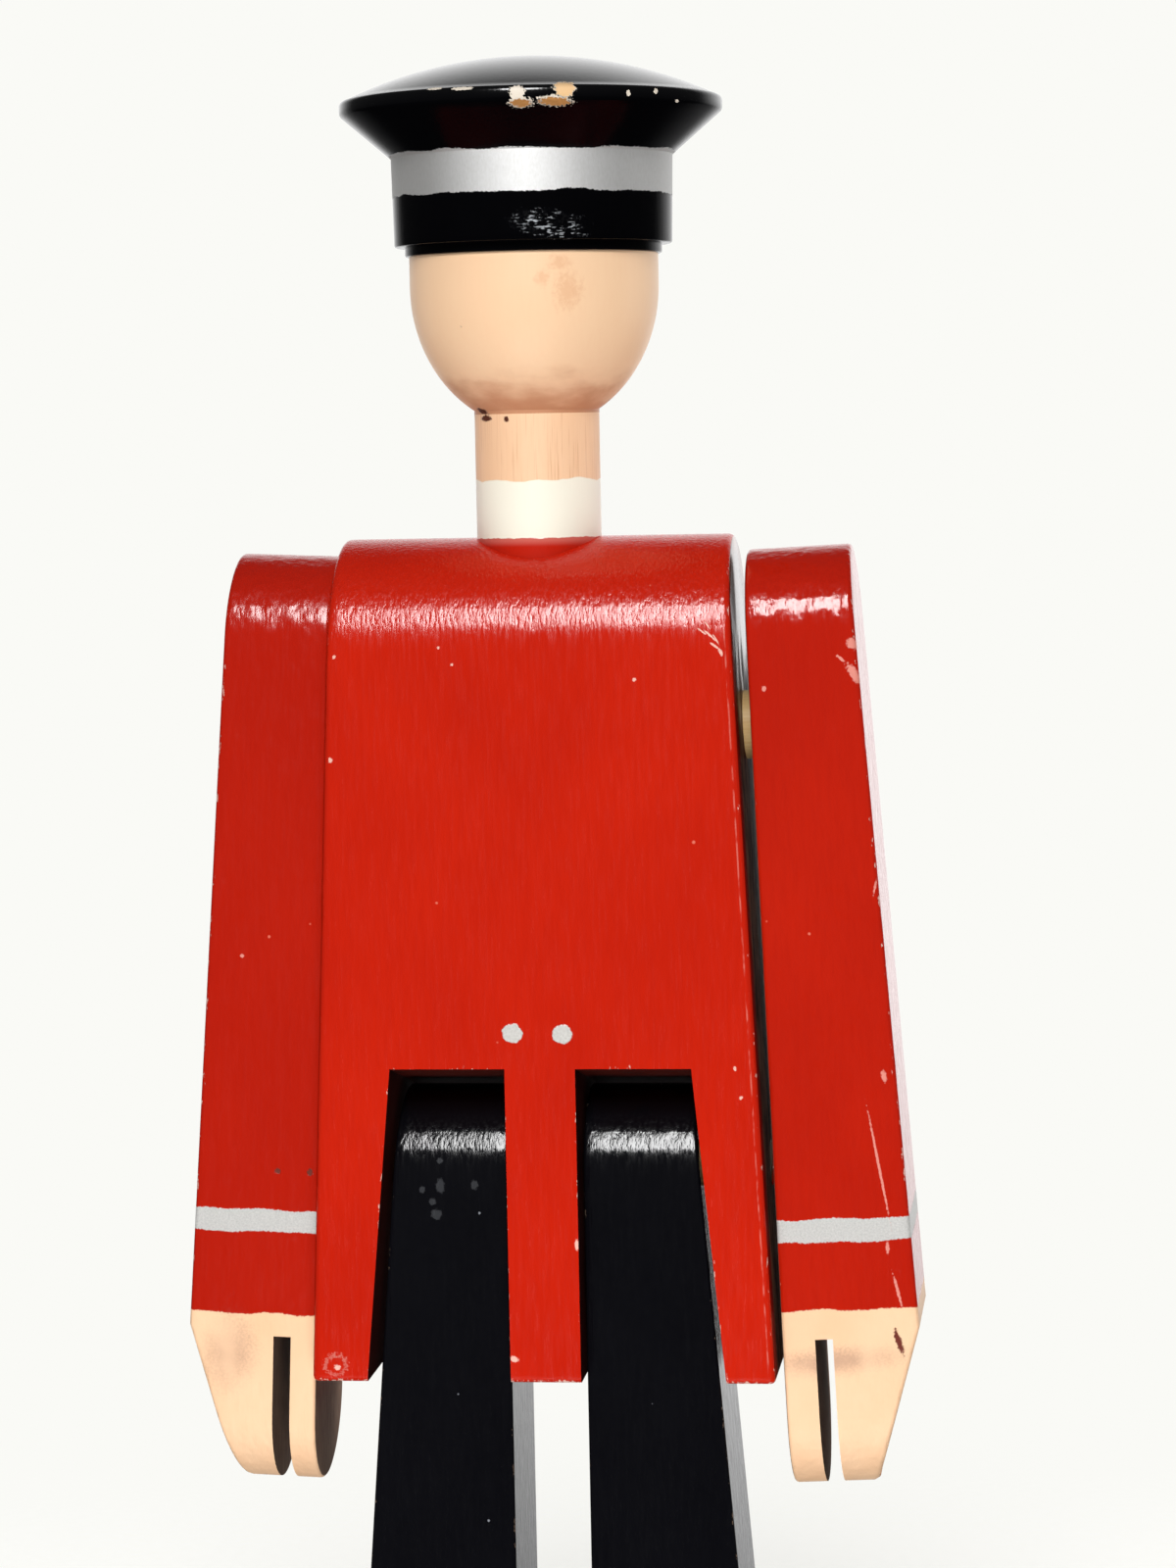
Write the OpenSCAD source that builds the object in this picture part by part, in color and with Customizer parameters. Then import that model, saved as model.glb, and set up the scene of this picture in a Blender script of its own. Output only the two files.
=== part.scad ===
// Painted wooden toy soldier, made from sawn blocks, turned pieces and dowels.
// Millimetres, +Z up. The origin is on the floor under the middle of the coat.
// The soldier faces +Y, so its own right arm and right leg lie on the +X side.

/* [Coat block] */
// Thickness of the coat block, front to back
coat_t = 38; // [34:0.5:42]
// Width across the top of the shoulders
shoulder_w = 68.5; // [62:0.5:76]
// Width at the hem, across the three tails
hem_w = 81.2; // [79:0.1:88]
// Height from the hem to the top of the shoulders
coat_h = 146.4; // [140:0.1:160]

/* [Leg slots] */
// Height of each leg slot above the hem
slot_h = 55.1; // [50:0.1:62]
// Width of a leg slot at its top
slot_w = 20.1; // [18:0.1:21]
// Width of a leg slot at the hem
slot_hem_w = 25.3; // [24:0.1:26]
// How much lower a slot ends at the soldier's front than at its back
slot_drop = 8.6; // [0:0.1:9]
// Width of the middle tail between the slots
tail_w = 12.3; // [10:0.1:14]
// How far right of the middle the slots were sawn
saw_shift = 0.6; // [0:0.1:1.2]

/* [Arms] */
// Thickness of an arm, front to back
arm_t = 28; // [24:0.5:32]
// Length of an arm, from its round top to the finger tips
arm_l = 165; // [155:1:175]
// Width of an arm at its top
arm_w = 18.1; // [16:0.1:20]
// Width of an arm at the wrist, its widest place
wrist_w = 22.8; // [21:0.1:25]
// Length of the hand, from the wrist to the finger tips
hand_l = 29.5; // [26:0.5:34]
// Width of the hand at the finger tips
tip_w = 14.4; // [12.5:0.1:17]
// Radius of the outer corner of the finger tips
tip_r = 3; // [2:0.1:4]
// Width of the thumb, on the side of the coat
thumb_w = 4.6; // [4:0.1:5.5]
// How much further the right arm reaches towards the coat, from the wrist down
right_lean = 1.1; // [0:0.1:1.5]
// Width of the saw cut between thumb and fingers
cut_w = 3.1; // [2:0.1:3.6]
// Length of the saw cut between thumb and fingers
cut_l = 28; // [22:0.5:31]

/* [Shoulder pegs] */
// Diameter of an arm peg
peg_d = 12; // [9:0.5:14]
// Height of the arm pegs below the top of the shoulders
peg_drop = 33.4; // [30:0.1:38]
// Distance from the arm peg's axis up to the top of the arm
arm_rise = 30.5; // [26:0.1:34]
// Depth of an arm peg in the coat block
peg_coat_l = 20; // [15:0.5:23]
// Depth of an arm peg in the arm
peg_arm_l = 11; // [9:0.5:13]
// Gap between the coat and the left arm, which is pushed home
left_gap = 0.3; // [0.2:0.1:2]
// Gap between the coat and the right arm, where its peg shows
right_gap = 2.2; // [0.2:0.1:4]

/* [Neck and head] */
// Diameter of the neck dowel
neck_d = 21.8; // [18:0.1:24]
// Length of neck between the shoulders and the head
neck_l = 21.2; // [18:0.1:26]
// Depth of the neck dowel in the coat block
neck_coat_l = 18; // [14:0.5:20]
// Depth of the neck dowel in the head
neck_head_l = 14; // [10:0.5:15]
// Diameter of the head under the cap
head_d = 43.4; // [41:0.1:44.5]
// Height of the head, from its chin end to the cap
head_h = 27.7; // [26.5:0.1:32]
// Height of the head's round lower part
jaw_h = 22.5; // [21:0.1:23.5]

/* [Cap] */
// Diameter of the step under the cap band
step_d = 44.8; // [44.6:0.1:47]
// Height of the step under the cap band
step_h = 1.7; // [1:0.1:2.5]
// Diameter of the cap band
band_d = 48.4; // [47.2:0.1:52]
// Height of the cap band
band_h = 15.3; // [14:0.1:18]
// How much wider the band is at its top than at its foot
band_spread = 0.6; // [0:0.1:2]
// Height of the cone that flares from the band out to the rim
flare_h = 7; // [5:0.1:9]
// Diameter of the cap's rim
rim_d = 66.6; // [62:0.1:70]
// Height of the rim's edge
rim_h = 3; // [2.5:0.1:4]
// Radius of the rim's rounded edges
rim_edge_r = 1; // [0.5:0.1:1.2]
// Height of the crown's dome above the rim
dome_h = 7.2; // [5:0.1:10]
// Diameter of the dowel that holds the cap on the head
cap_dowel_d = 9.5; // [8:0.5:12]
// Depth of the cap dowel in the head
cap_dowel_head_l = 9; // [6:0.5:10]
// Depth of the cap dowel in the cap
cap_dowel_cap_l = 12; // [8:0.5:16]

/* [Visor] */
// Radius of the visor's outline
visor_r = 20; // [17:0.1:21]
// How far the visor reaches beyond the band
visor_out = 11; // [8:0.1:12]
// Thickness of the visor
visor_t = 2; // [1.5:0.1:2.5]
// Depth of the visor's tongue in the band
visor_tongue = 3.5; // [3:0.1:4.5]
// Slope of the visor in degrees
visor_slope = 18; // [10:1:22]
// Height of the visor's groove above the foot of the band
visor_rise = 3.5; // [3:0.1:6]

/* [Legs] */
// Thickness of a leg, front to back
leg_t = 28; // [24:0.5:29]
// Length from the hip dowel's axis to the top of the boot
leg_l = 135.6; // [120:0.1:150]
// Width of a leg at the top of the boot
ankle_w = 31.2; // [28:0.1:32]
// Height of the hip dowel's axis above the hem
hip_rise = 35.6; // [33:0.1:37]
// Diameter of the hip dowel
hip_dowel_d = 8; // [6:0.5:10]
// Play between a leg and the middle tail
leg_inner_play = 0.5; // [0.3:0.1:0.8]
// Play between a leg and the outer tail, at the hip dowel
leg_outer_play = 1.15; // [1:0.05:1.6]

/* [Boots] */
// Length of a boot
boot_l = 50; // [44:1:60]
// Height of a boot
boot_h = 14; // [12:0.5:18]
// Length of boot behind the middle of the leg
heel_l = 16; // [14:0.5:20]
// How far a boot's sole stands out beside the leg
welt = 1; // [0.5:0.1:2]
// Diameter of the dowel between leg and boot
boot_dowel_d = 8; // [6:0.5:10]
// Depth of the boot dowel in the leg
boot_dowel_leg_l = 18; // [12:1:25]
// Depth of the boot dowel in the boot
boot_dowel_boot_l = 10; // [7:0.5:11]

/* [Fits] */
// Radial clearance of a dowel that turns in its hole
run_fit = 0.05; // [0.02:0.01:0.1]
// Radial clearance of a dowel that is glued in its hole
glue_fit = 0.03; // [0.01:0.01:0.08]
// Room left at the blind end of each dowel hole
end_room = 1; // [0.5:0.1:1.5]

/* [Hidden] */
$fn = 96;

// Overrun of every cut past the face that it opens
overrun = coat_t / 10;

// Heights above the floor
hip_z = boot_h + leg_l;
hem_z = hip_z - hip_rise;
crown_z = hem_z + coat_h;
slot_z = hem_z + slot_h;
peg_z = crown_z - peg_drop;
head_z = crown_z + neck_l;
step_z = head_z + head_h;
band_z = step_z + step_h;
flare_z = band_z + band_h;
rim_z = flare_z + flare_h;
dome_z = rim_z + rim_h;

// The coat's sides lean outwards towards the hem
side_spread = (hem_w - shoulder_w) / 2 / coat_h;
side_angle = atan(side_spread);
function coat_half_w(z) = shoulder_w / 2 + (crown_z - z) * side_spread;

// The outer wall of each slot leans outwards too
slot_spread = (slot_hem_w - slot_w) / slot_h;
function slot_w_at(z) = slot_w + (slot_z - z) * slot_spread;

// Each leg follows its slot, less the play on both sides
leg_hip_w = slot_w_at(hip_z) - leg_inner_play - leg_outer_play;
leg_spread = (ankle_w - leg_hip_w) / leg_l;
leg_inner_x = tail_w / 2 + leg_inner_play;
leg_top_z = hip_z + leg_t / 2;
leg_top_w = leg_hip_w - leg_t / 2 * leg_spread;
ankle_x = leg_inner_x + ankle_w / 2;

// Points on a quarter ellipse from its end on X to its end on Y
arc_steps = 24;
function quarter_arc(rx, ry) =
    [for (i = [0 : arc_steps]) let (a = 90 * i / arc_steps) [rx * cos(a), ry * sin(a)]];

// Solid of a front outline, drawn in X and Z, through the thickness t
module front_cut(t) {
    translate([0, t / 2, 0])
        rotate([90, 0, 0])
            linear_extrude(height = t)
                children();
}

// Solid of a side profile, drawn in Y and Z, from x_low over the width w
module side_cut(x_low, w) {
    translate([x_low, 0, 0])
        rotate([90, 0, 90])
            linear_extrude(height = w)
                children();
}

// Dowel or hole along Z, from z_low over the length l
module upright(d, z_low, l) {
    translate([0, 0, z_low])
        cylinder(d = d, h = l);
}

// Dowel or hole along X, from x_low over the length l
module level(d, x_low, l) {
    translate([x_low, 0, 0])
        rotate([0, 90, 0])
            cylinder(d = d, h = l);
}

// Puts its children on the right or left side of the coat, at the arm peg:
// their X runs square out of the side face and their Z up along it
module on_side(side) {
    mirror([side < 0 ? 1 : 0, 0, 0])
        translate([coat_half_w(peg_z), 0, peg_z])
            rotate([0, -side_angle, 0])
                children();
}

// Puts its children, drawn for the right leg, on the right or left leg
module on_leg(side) {
    translate([saw_shift, 0, 0])
        mirror([side < 0 ? 1 : 0, 0, 0])
            children();
}

// Coat block: sawn outline, half-round shoulders, two leg slots, dowel holes
module coat_outline() {
    polygon([[-hem_w / 2, hem_z], [hem_w / 2, hem_z],
             [shoulder_w / 2, crown_z], [-shoulder_w / 2, crown_z]]);
}

module coat_profile() {
    translate([-coat_t / 2, hem_z])
        square([coat_t, coat_h - coat_t / 2]);
    translate([0, crown_z - coat_t / 2])
        circle(d = coat_t);
}

module slot_outline() {
    polygon([[tail_w / 2, hem_z - overrun], [tail_w / 2, slot_z],
             [tail_w / 2 + slot_w, slot_z],
             [tail_w / 2 + slot_w_at(hem_z - overrun), hem_z - overrun]]);
}

// The slots end on a slope: at slot_z on the back face, slot_drop lower on the front face
module slot_profile() {
    reach = coat_t / 2 + overrun;
    rise = overrun * slot_drop / coat_t;
    polygon([[-reach, hem_z - overrun], [reach, hem_z - overrun],
             [reach, slot_z - slot_drop - rise], [-reach, slot_z + rise]]);
}

module slot() {
    intersection() {
        front_cut(coat_t + 2 * overrun)
            slot_outline();
        side_cut(0, hem_w)
            slot_profile();
    }
}

module torso_block() {
    color("firebrick")
        difference() {
            intersection() {
                front_cut(coat_t)
                    coat_outline();
                side_cut(-hem_w, 2 * hem_w)
                    coat_profile();
            }
            for (side = [-1, 1]) {
                on_leg(side)
                    slot();
                on_side(side)
                    level(peg_d + 2 * run_fit, -peg_coat_l - end_room,
                          peg_coat_l + end_room + overrun);
            }
            translate([0, 0, hip_z])
                level(hip_dowel_d + 2 * glue_fit, -hem_w, 2 * hem_w);
            upright(neck_d + 2 * run_fit, crown_z - neck_coat_l - end_room,
                    neck_coat_l + end_room + overrun);
        }
}

// Hip dowel: glued across the three tails, carries both legs
module hip_dowel() {
    half_l = coat_half_w(hip_z + hip_dowel_d / 2);
    color("burlywood")
        translate([0, 0, hip_z])
            level(hip_dowel_d, -half_l, 2 * half_l);
}

// Arm board with its hand, drawn beside the arm peg's axis
module arm_outline(gap, lean) {
    finger_x = gap + tip_w - tip_r;
    translate([0, arm_rise - arm_l]) {
        difference() {
            union() {
                polygon([[gap - lean, tip_r], [gap + tip_w, tip_r], [gap + wrist_w, hand_l],
                         [gap + arm_w, arm_l], [gap, arm_l], [gap - lean, hand_l]]);
                translate([gap - lean, 0])
                    square([lean + tip_w - tip_r, tip_r]);
                translate([finger_x, tip_r])
                    circle(r = tip_r);
            }
            translate([gap + thumb_w, -overrun])
                square([cut_w, cut_l + overrun]);
        }
    }
}

module arm_profile() {
    translate([-arm_t / 2, arm_rise - arm_l + arm_t / 2])
        square([arm_t, arm_l - arm_t]);
    for (z = [arm_rise - arm_t / 2, arm_rise - arm_l + arm_t / 2])
        translate([0, z])
            circle(d = arm_t);
}

module arm(side, gap, lean) {
    color("firebrick")
        on_side(side)
            difference() {
                intersection() {
                    front_cut(arm_t)
                        arm_outline(gap, lean);
                    side_cut(gap - lean, lean + wrist_w)
                        arm_profile();
                }
                level(peg_d + 2 * glue_fit, gap - overrun, overrun + peg_arm_l + end_room);
            }
}

// Arm peg: glued in the arm, turns in the coat block
module arm_peg(side, gap) {
    color("burlywood")
        on_side(side)
            level(peg_d, -peg_coat_l, peg_coat_l + gap + peg_arm_l);
}

module left_arm() arm(-1, left_gap, 0);
module right_arm() arm(1, right_gap, right_lean);
module left_arm_peg() arm_peg(-1, left_gap);
module right_arm_peg() arm_peg(1, right_gap);

// Neck dowel: glued in the head, turns in the coat block
module neck_dowel() {
    color("peachpuff")
        upright(neck_d, crown_z - neck_coat_l, neck_coat_l + neck_l + neck_head_l);
}

// Head: turned, round below and straight under the cap
jaw_depth_share = 1.11;
module head_profile() {
    jaw = quarter_arc(head_d / 2, -jaw_h * jaw_depth_share);
    polygon(concat([[0, step_z], [head_d / 2, step_z]],
                   [for (p = jaw) if (p[1] > -jaw_h) [p[0], head_z + jaw_h + p[1]]],
                   [[head_d / 2 * sqrt(1 - 1 / pow(jaw_depth_share, 2)), head_z], [0, head_z]]));
}

module head() {
    color("peachpuff")
        difference() {
            rotate_extrude()
                head_profile();
            upright(neck_d + 2 * glue_fit, head_z - overrun, overrun + neck_head_l + end_room);
            upright(cap_dowel_d + 2 * glue_fit, step_z - cap_dowel_head_l - end_room,
                    cap_dowel_head_l + end_room + overrun);
        }
}

// Cap dowel: glued in head and cap
module cap_dowel() {
    color("burlywood")
        upright(cap_dowel_d, step_z - cap_dowel_head_l, cap_dowel_head_l + cap_dowel_cap_l);
}

// Cap: turned in one piece, from the step under the band to the dome
function dome_edge(r_edge, rise) =
    let (ball_r = (pow(r_edge, 2) + pow(rise, 2)) / (2 * rise), a_edge = asin(r_edge / ball_r))
    [for (i = [1 : arc_steps]) let (a = a_edge * (1 - i / arc_steps))
        [ball_r * sin(a), dome_z + rise - ball_r * (1 - cos(a))]];

// Points on a round corner, from one angle to another
function round_corner(centre, r, first, last) =
    [for (i = [0 : arc_steps]) let (a = first + (last - first) * i / arc_steps)
        centre + r * [cos(a), sin(a)]];

// The cone meets the rim's lower rounding as a tangent
module cap_profile() {
    band_top = [(band_d + band_spread) / 2, flare_z];
    low = [rim_d / 2 - rim_edge_r, rim_z + rim_edge_r];
    high = [rim_d / 2 - rim_edge_r, dome_z - rim_edge_r];
    out = low - band_top;
    slope = atan2(out[1], out[0]) - asin(rim_edge_r / norm(out));
    polygon(concat([[0, step_z], [step_d / 2, step_z], [step_d / 2, band_z], [band_d / 2, band_z],
                    band_top],
                   round_corner(low, rim_edge_r, slope - 90, 0),
                   round_corner(high, rim_edge_r, 0, 90),
                   dome_edge(high[0], dome_h)));
}

// Visor plate, or its groove when grown by a clearance
module visor_plate(grow) {
    band_r = band_d / 2;
    translate([0, band_r, band_z + visor_rise])
        rotate([-visor_slope, 0, 0])
            translate([0, -band_r, -visor_t / 2 - grow])
                linear_extrude(height = visor_t + 2 * grow)
                    difference() {
                        translate([0, band_r + visor_out - visor_r])
                            circle(r = visor_r + grow);
                        circle(r = band_r - visor_tongue - grow);
                    }
}

module cap() {
    color("black")
        difference() {
            rotate_extrude()
                cap_profile();
            upright(cap_dowel_d + 2 * glue_fit, step_z - overrun,
                    overrun + cap_dowel_cap_l + end_room);
            visor_plate(glue_fit);
        }
}

module cap_visor() {
    color("black")
        visor_plate(0);
}

// Leg: half-round top, straight inner face, tapered outer face
module leg_outline() {
    polygon([[leg_inner_x, boot_h], [leg_inner_x + ankle_w, boot_h],
             [leg_inner_x + leg_top_w, leg_top_z], [leg_inner_x, leg_top_z]]);
}

module leg_profile() {
    translate([-leg_t / 2, boot_h])
        square([leg_t, leg_l]);
    translate([0, hip_z])
        circle(d = leg_t);
}

module leg(side) {
    color("black")
        on_leg(side)
            difference() {
                intersection() {
                    front_cut(leg_t)
                        leg_outline();
                    side_cut(0, hem_w)
                        leg_profile();
                }
                translate([0, 0, hip_z])
                    level(hip_dowel_d + 2 * run_fit, leg_inner_x - overrun,
                          leg_hip_w + 2 * overrun);
                translate([ankle_x, 0, 0])
                    upright(boot_dowel_d + 2 * glue_fit, boot_h - overrun,
                            overrun + boot_dowel_leg_l + end_room);
            }
}

// Boot: a block with a round toe, glued and dowelled under the leg
toe_top_share = 0.45;
module boot_outline() {
    boot_w = ankle_w + 2 * welt;
    toe_r = boot_w / 2;
    translate([ankle_x - toe_r, -heel_l])
        square([boot_w, boot_l - toe_r]);
    translate([ankle_x, boot_l - heel_l - toe_r])
        circle(r = toe_r);
}

module boot_profile() {
    toe_top_r = boot_h * toe_top_share;
    toe_y = boot_l - heel_l;
    translate([-heel_l, 0])
        square([boot_l - toe_top_r, boot_h]);
    translate([-heel_l, 0])
        square([boot_l, boot_h - toe_top_r]);
    translate([toe_y - toe_top_r, boot_h - toe_top_r])
        circle(r = toe_top_r);
}

module boot(side) {
    color("black")
        on_leg(side)
            difference() {
                intersection() {
                    linear_extrude(height = boot_h)
                        boot_outline();
                    side_cut(0, hem_w)
                        boot_profile();
                }
                translate([ankle_x, 0, 0])
                    upright(boot_dowel_d + 2 * glue_fit, boot_h - boot_dowel_boot_l - end_room,
                            boot_dowel_boot_l + end_room + overrun);
            }
}

// Boot dowel: glued in leg and boot
module boot_dowel(side) {
    color("burlywood")
        on_leg(side)
            translate([ankle_x, 0, 0])
                upright(boot_dowel_d, boot_h - boot_dowel_boot_l,
                        boot_dowel_boot_l + boot_dowel_leg_l);
}

module left_leg() leg(-1);
module right_leg() leg(1);
module left_boot() boot(-1);
module right_boot() boot(1);
module left_boot_dowel() boot_dowel(-1);
module right_boot_dowel() boot_dowel(1);

torso_block();
hip_dowel();
neck_dowel();
head();
cap_dowel();
cap();
cap_visor();
left_arm();
right_arm();
left_arm_peg();
right_arm_peg();
left_leg();
right_leg();
left_boot();
right_boot();
left_boot_dowel();
right_boot_dowel();
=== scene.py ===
# %% [markdown]
# # A painted wooden toy soldier
# The soldier is a jointed toy from a small workshop: a coat block sawn out of a plank, two arm boards
# on pegs, two legs on a hip dowel, and a turned head and cap on a thick neck dowel. It is seen from
# behind, with its arms down. The CAD frame already holds every solid in its right place, and says
# which of them move together. This lesson gives each part a rounded, sawn or turned mesh of its own,
# then paints it as the real one is painted, with brush streaks, worn edges and chips.

# %% Load the CAD frame
import math

import bmesh
import bpy
import numpy as np
from mathutils import Matrix, Vector


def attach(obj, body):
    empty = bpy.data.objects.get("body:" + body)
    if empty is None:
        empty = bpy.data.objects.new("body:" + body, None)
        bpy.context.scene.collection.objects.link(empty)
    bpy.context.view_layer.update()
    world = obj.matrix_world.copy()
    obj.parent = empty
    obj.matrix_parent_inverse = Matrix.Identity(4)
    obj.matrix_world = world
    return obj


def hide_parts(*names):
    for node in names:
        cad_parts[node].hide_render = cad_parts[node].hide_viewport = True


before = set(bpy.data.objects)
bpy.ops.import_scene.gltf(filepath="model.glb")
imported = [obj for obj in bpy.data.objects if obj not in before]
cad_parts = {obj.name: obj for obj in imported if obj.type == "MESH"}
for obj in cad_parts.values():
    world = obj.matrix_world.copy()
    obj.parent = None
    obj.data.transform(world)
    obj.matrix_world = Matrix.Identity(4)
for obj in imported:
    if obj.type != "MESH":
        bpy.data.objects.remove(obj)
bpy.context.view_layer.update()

# %% [markdown]
# ## Sizes
# A workshop works in millimetres, so every size here is in millimetres and is turned into metres
# once, when a piece is finished. Heights are above the floor. The soldier faces +Y, so the side that
# the camera sees is its back, at -Y, and its own right arm is at +X.

# %% Name the sizes that the pieces share
MM = 0.001

CROWN_Z = 260.4
HEM_Z = 114.0
COAT_HALF_T = 19.0
SHOULDER_HALF_W = 34.25
HEM_HALF_W = 40.6
SIDE_LEAN = math.atan((HEM_HALF_W - SHOULDER_HALF_W) / (CROWN_Z - HEM_Z))
SAW_SHIFT = 0.6
HIP_Z = 149.6
PEG_Z = 227.0
PEG_X = SHOULDER_HALF_W + (CROWN_Z - PEG_Z) * math.tan(SIDE_LEAN)
NECK_R = 10.9
ARM_PEG_R = 6.0
HIP_DOWEL_R = 4.0
HEAD_Z = 281.6
CAP_Z = 309.3

print("the coat's sides lean out by", round(math.degrees(SIDE_LEAN), 3), "degrees")

# %% [markdown]
# ## Camera
# The photograph was matched with a pinhole camera: about one and a half hundred edges of the soldier
# were fitted, which gave where the lens was, how it was turned, and how long it was for a frame of
# 1200 by 1600 pixels. The three turns are made in the order roll, pitch, yaw. Blender's camera looks
# along its own -Z, so the viewing direction goes into the matrix with its sign changed.

# %% Place the camera
LENS_AT = Vector((97.4, -741.2, 279.5)) * MM
YAW, PITCH, ROLL = 6.90, -4.80, 1.13
PIXELS_TALL = 1600
FOCAL_PIXELS = 4348.0
FILM_TALL = 36.0

turned = (
    Matrix.Rotation(math.radians(YAW), 3, "Z")
    @ Matrix.Rotation(math.radians(PITCH), 3, "X")
    @ Matrix.Rotation(math.radians(ROLL), 3, "Y")
)
right, ahead, up = turned.col[0], turned.col[1], turned.col[2]
stand = Matrix((right, up, -ahead)).transposed().to_4x4()
stand.translation = LENS_AT

camera_data = bpy.data.cameras.new("camera")
camera_data.sensor_fit = "VERTICAL"
camera_data.sensor_height = FILM_TALL
camera_data.lens = FOCAL_PIXELS / PIXELS_TALL * FILM_TALL
camera = bpy.data.objects.new("camera", camera_data)
camera.matrix_world = stand
bpy.context.scene.collection.objects.link(camera)
bpy.context.scene.camera = camera
print("lens:", round(camera_data.lens, 2), "mm, stands", round(LENS_AT.length * 1000), "mm away")

# %% [markdown]
# ## Woodwork in bmesh
# The wooden parts were made with a saw, a drill, a sander and a lathe, and the helpers below do the
# same jobs. A block is a cube that is scaled. Sawing is a plane that cuts the mesh and closes the
# cut. Sanding an edge round is a bevel. Only holes and slots need a Boolean, because they cut
# into a part and don't take a whole side off. Each job is short, so each part reads as a recipe.

# %% Block, saw, sander and drill
def block(low, high):
    """A box between its lowest and highest corners."""
    shape = bmesh.new()
    low, high = Vector(low), Vector(high)
    bmesh.ops.create_cube(shape, size=1.0)
    bmesh.ops.scale(shape, vec=high - low, verts=shape.verts)
    bmesh.ops.translate(shape, vec=(low + high) / 2, verts=shape.verts)
    return shape


def saw(shape, through, outward):
    """Saws off everything outside a plane and closes the cut."""
    cut = bmesh.ops.bisect_plane(
        shape,
        geom=shape.verts[:] + shape.edges[:] + shape.faces[:],
        dist=0.0001,
        plane_co=through,
        plane_no=outward,
        clear_outer=True,
    )
    rim = [part for part in cut["geom_cut"] if isinstance(part, bmesh.types.BMEdge)]
    bmesh.ops.holes_fill(shape, edges=rim, sides=0)


def sharp_edges(shape, test=lambda middle: True, degrees=40):
    """The edges that turn by more than some degrees and whose middle passes a test."""
    return [
        edge
        for edge in shape.edges
        if len(edge.link_faces) == 2
        and edge.calc_face_angle() > math.radians(degrees)
        and test((edge.verts[0].co + edge.verts[1].co) / 2)
    ]


def sand(shape, edges, radius, steps):
    """Rounds edges to a radius. Points that then lie on each other become one."""
    bmesh.ops.bevel(
        shape,
        geom=edges,
        offset=radius,
        offset_type="OFFSET",
        segments=steps,
        profile=0.5,
        affect="EDGES",
        clamp_overlap=False,
        material=-1,
    )
    bmesh.ops.remove_doubles(shape, verts=shape.verts, dist=0.02)


def rod(radius, start, end, steps=64):
    """A round rod between two points, to drill with."""
    shape = bmesh.new()
    start, end = Vector(start), Vector(end)
    bmesh.ops.create_cone(
        shape,
        cap_ends=True,
        segments=steps,
        radius1=radius,
        radius2=radius,
        depth=(end - start).length,
    )
    turn = (end - start).to_track_quat("Z", "Y").to_matrix()
    bmesh.ops.rotate(shape, cent=(0, 0, 0), matrix=turn, verts=shape.verts)
    bmesh.ops.translate(shape, vec=(start + end) / 2, verts=shape.verts)
    return shape


def carve(shape, *cutters):
    """Takes each cutter out of a shape with a Boolean, and gives the carved shape."""
    for cutter in cutters:
        pair = []
        for part in (shape, cutter):
            mesh = bpy.data.meshes.new("workpiece")
            part.to_mesh(mesh)
            part.free()
            pair.append(bpy.data.objects.new("workpiece", mesh))
            bpy.context.scene.collection.objects.link(pair[-1])
        stock, tool = pair
        boolean = stock.modifiers.new("cut", "BOOLEAN")
        boolean.operation = "DIFFERENCE"
        boolean.solver = "EXACT"
        boolean.object = tool
        shape = bmesh.new()
        shape.from_object(stock, bpy.context.evaluated_depsgraph_get())
        for part in pair:
            mesh = part.data
            bpy.data.objects.remove(part)
            bpy.data.meshes.remove(mesh)
    return shape


def score(shape, direction, places):
    """Scores the faces across a direction, so that they have corners at each place."""
    direction = Vector(direction).normalized()
    for place in places:
        bmesh.ops.bisect_plane(
            shape,
            geom=shape.verts[:] + shape.edges[:] + shape.faces[:],
            dist=0.001,
            plane_co=direction * place,
            plane_no=direction,
        )


def every(step, low, high):
    """Places between two ends, a step apart."""
    return [low + step * count for count in range(1, math.ceil((high - low) / step))]


print("tools ready: block, saw, sand, drill and score")

# %% [markdown]
# ## Wear along the edges
# Paint goes first where hands and shelves rub, which is along the sawn edges. Before an edge is
# sanded, its line is kept with a number that says how hard it was rubbed. Each corner of the finished
# mesh then gets an attribute called worn, which is 1 on the line and falls to 0 a few tenths of a
# millimetre away. The paint reads it later and breaks it up with noise. The attribute is better than
# a mask in coordinates, because it follows every edge, also the curved ones.

# %% Keep the edges' lines and give a piece its wear
def lines_of(edges, rubbed):
    """The two ends of each edge, with how hard it was rubbed there."""
    lines = []
    for edge in edges:
        start, end = edge.verts[0].co.copy(), edge.verts[1].co.copy()
        lines.append((start, end, rubbed((start + end) / 2)))
    return lines


def wear_down(shape, lines, reach):
    """Writes the attribute worn: 1 on a fully rubbed line, 0 from reach millimetres on."""
    layer = shape.verts.layers.float.new("worn")
    points = np.array([vert.co for vert in shape.verts])
    worn = np.zeros(len(points))
    for start, end, rubbed in lines:
        start, along = np.array(start), np.array(end - start)
        share = np.clip((points - start) @ along / (along @ along), 0, 1)
        away = np.linalg.norm(points - start - share[:, None] * along, axis=1)
        worn = np.maximum(worn, rubbed * np.clip(1 - away / reach, 0, 1))
    for vert, value in zip(shape.verts, worn):
        vert[layer] = value


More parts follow.
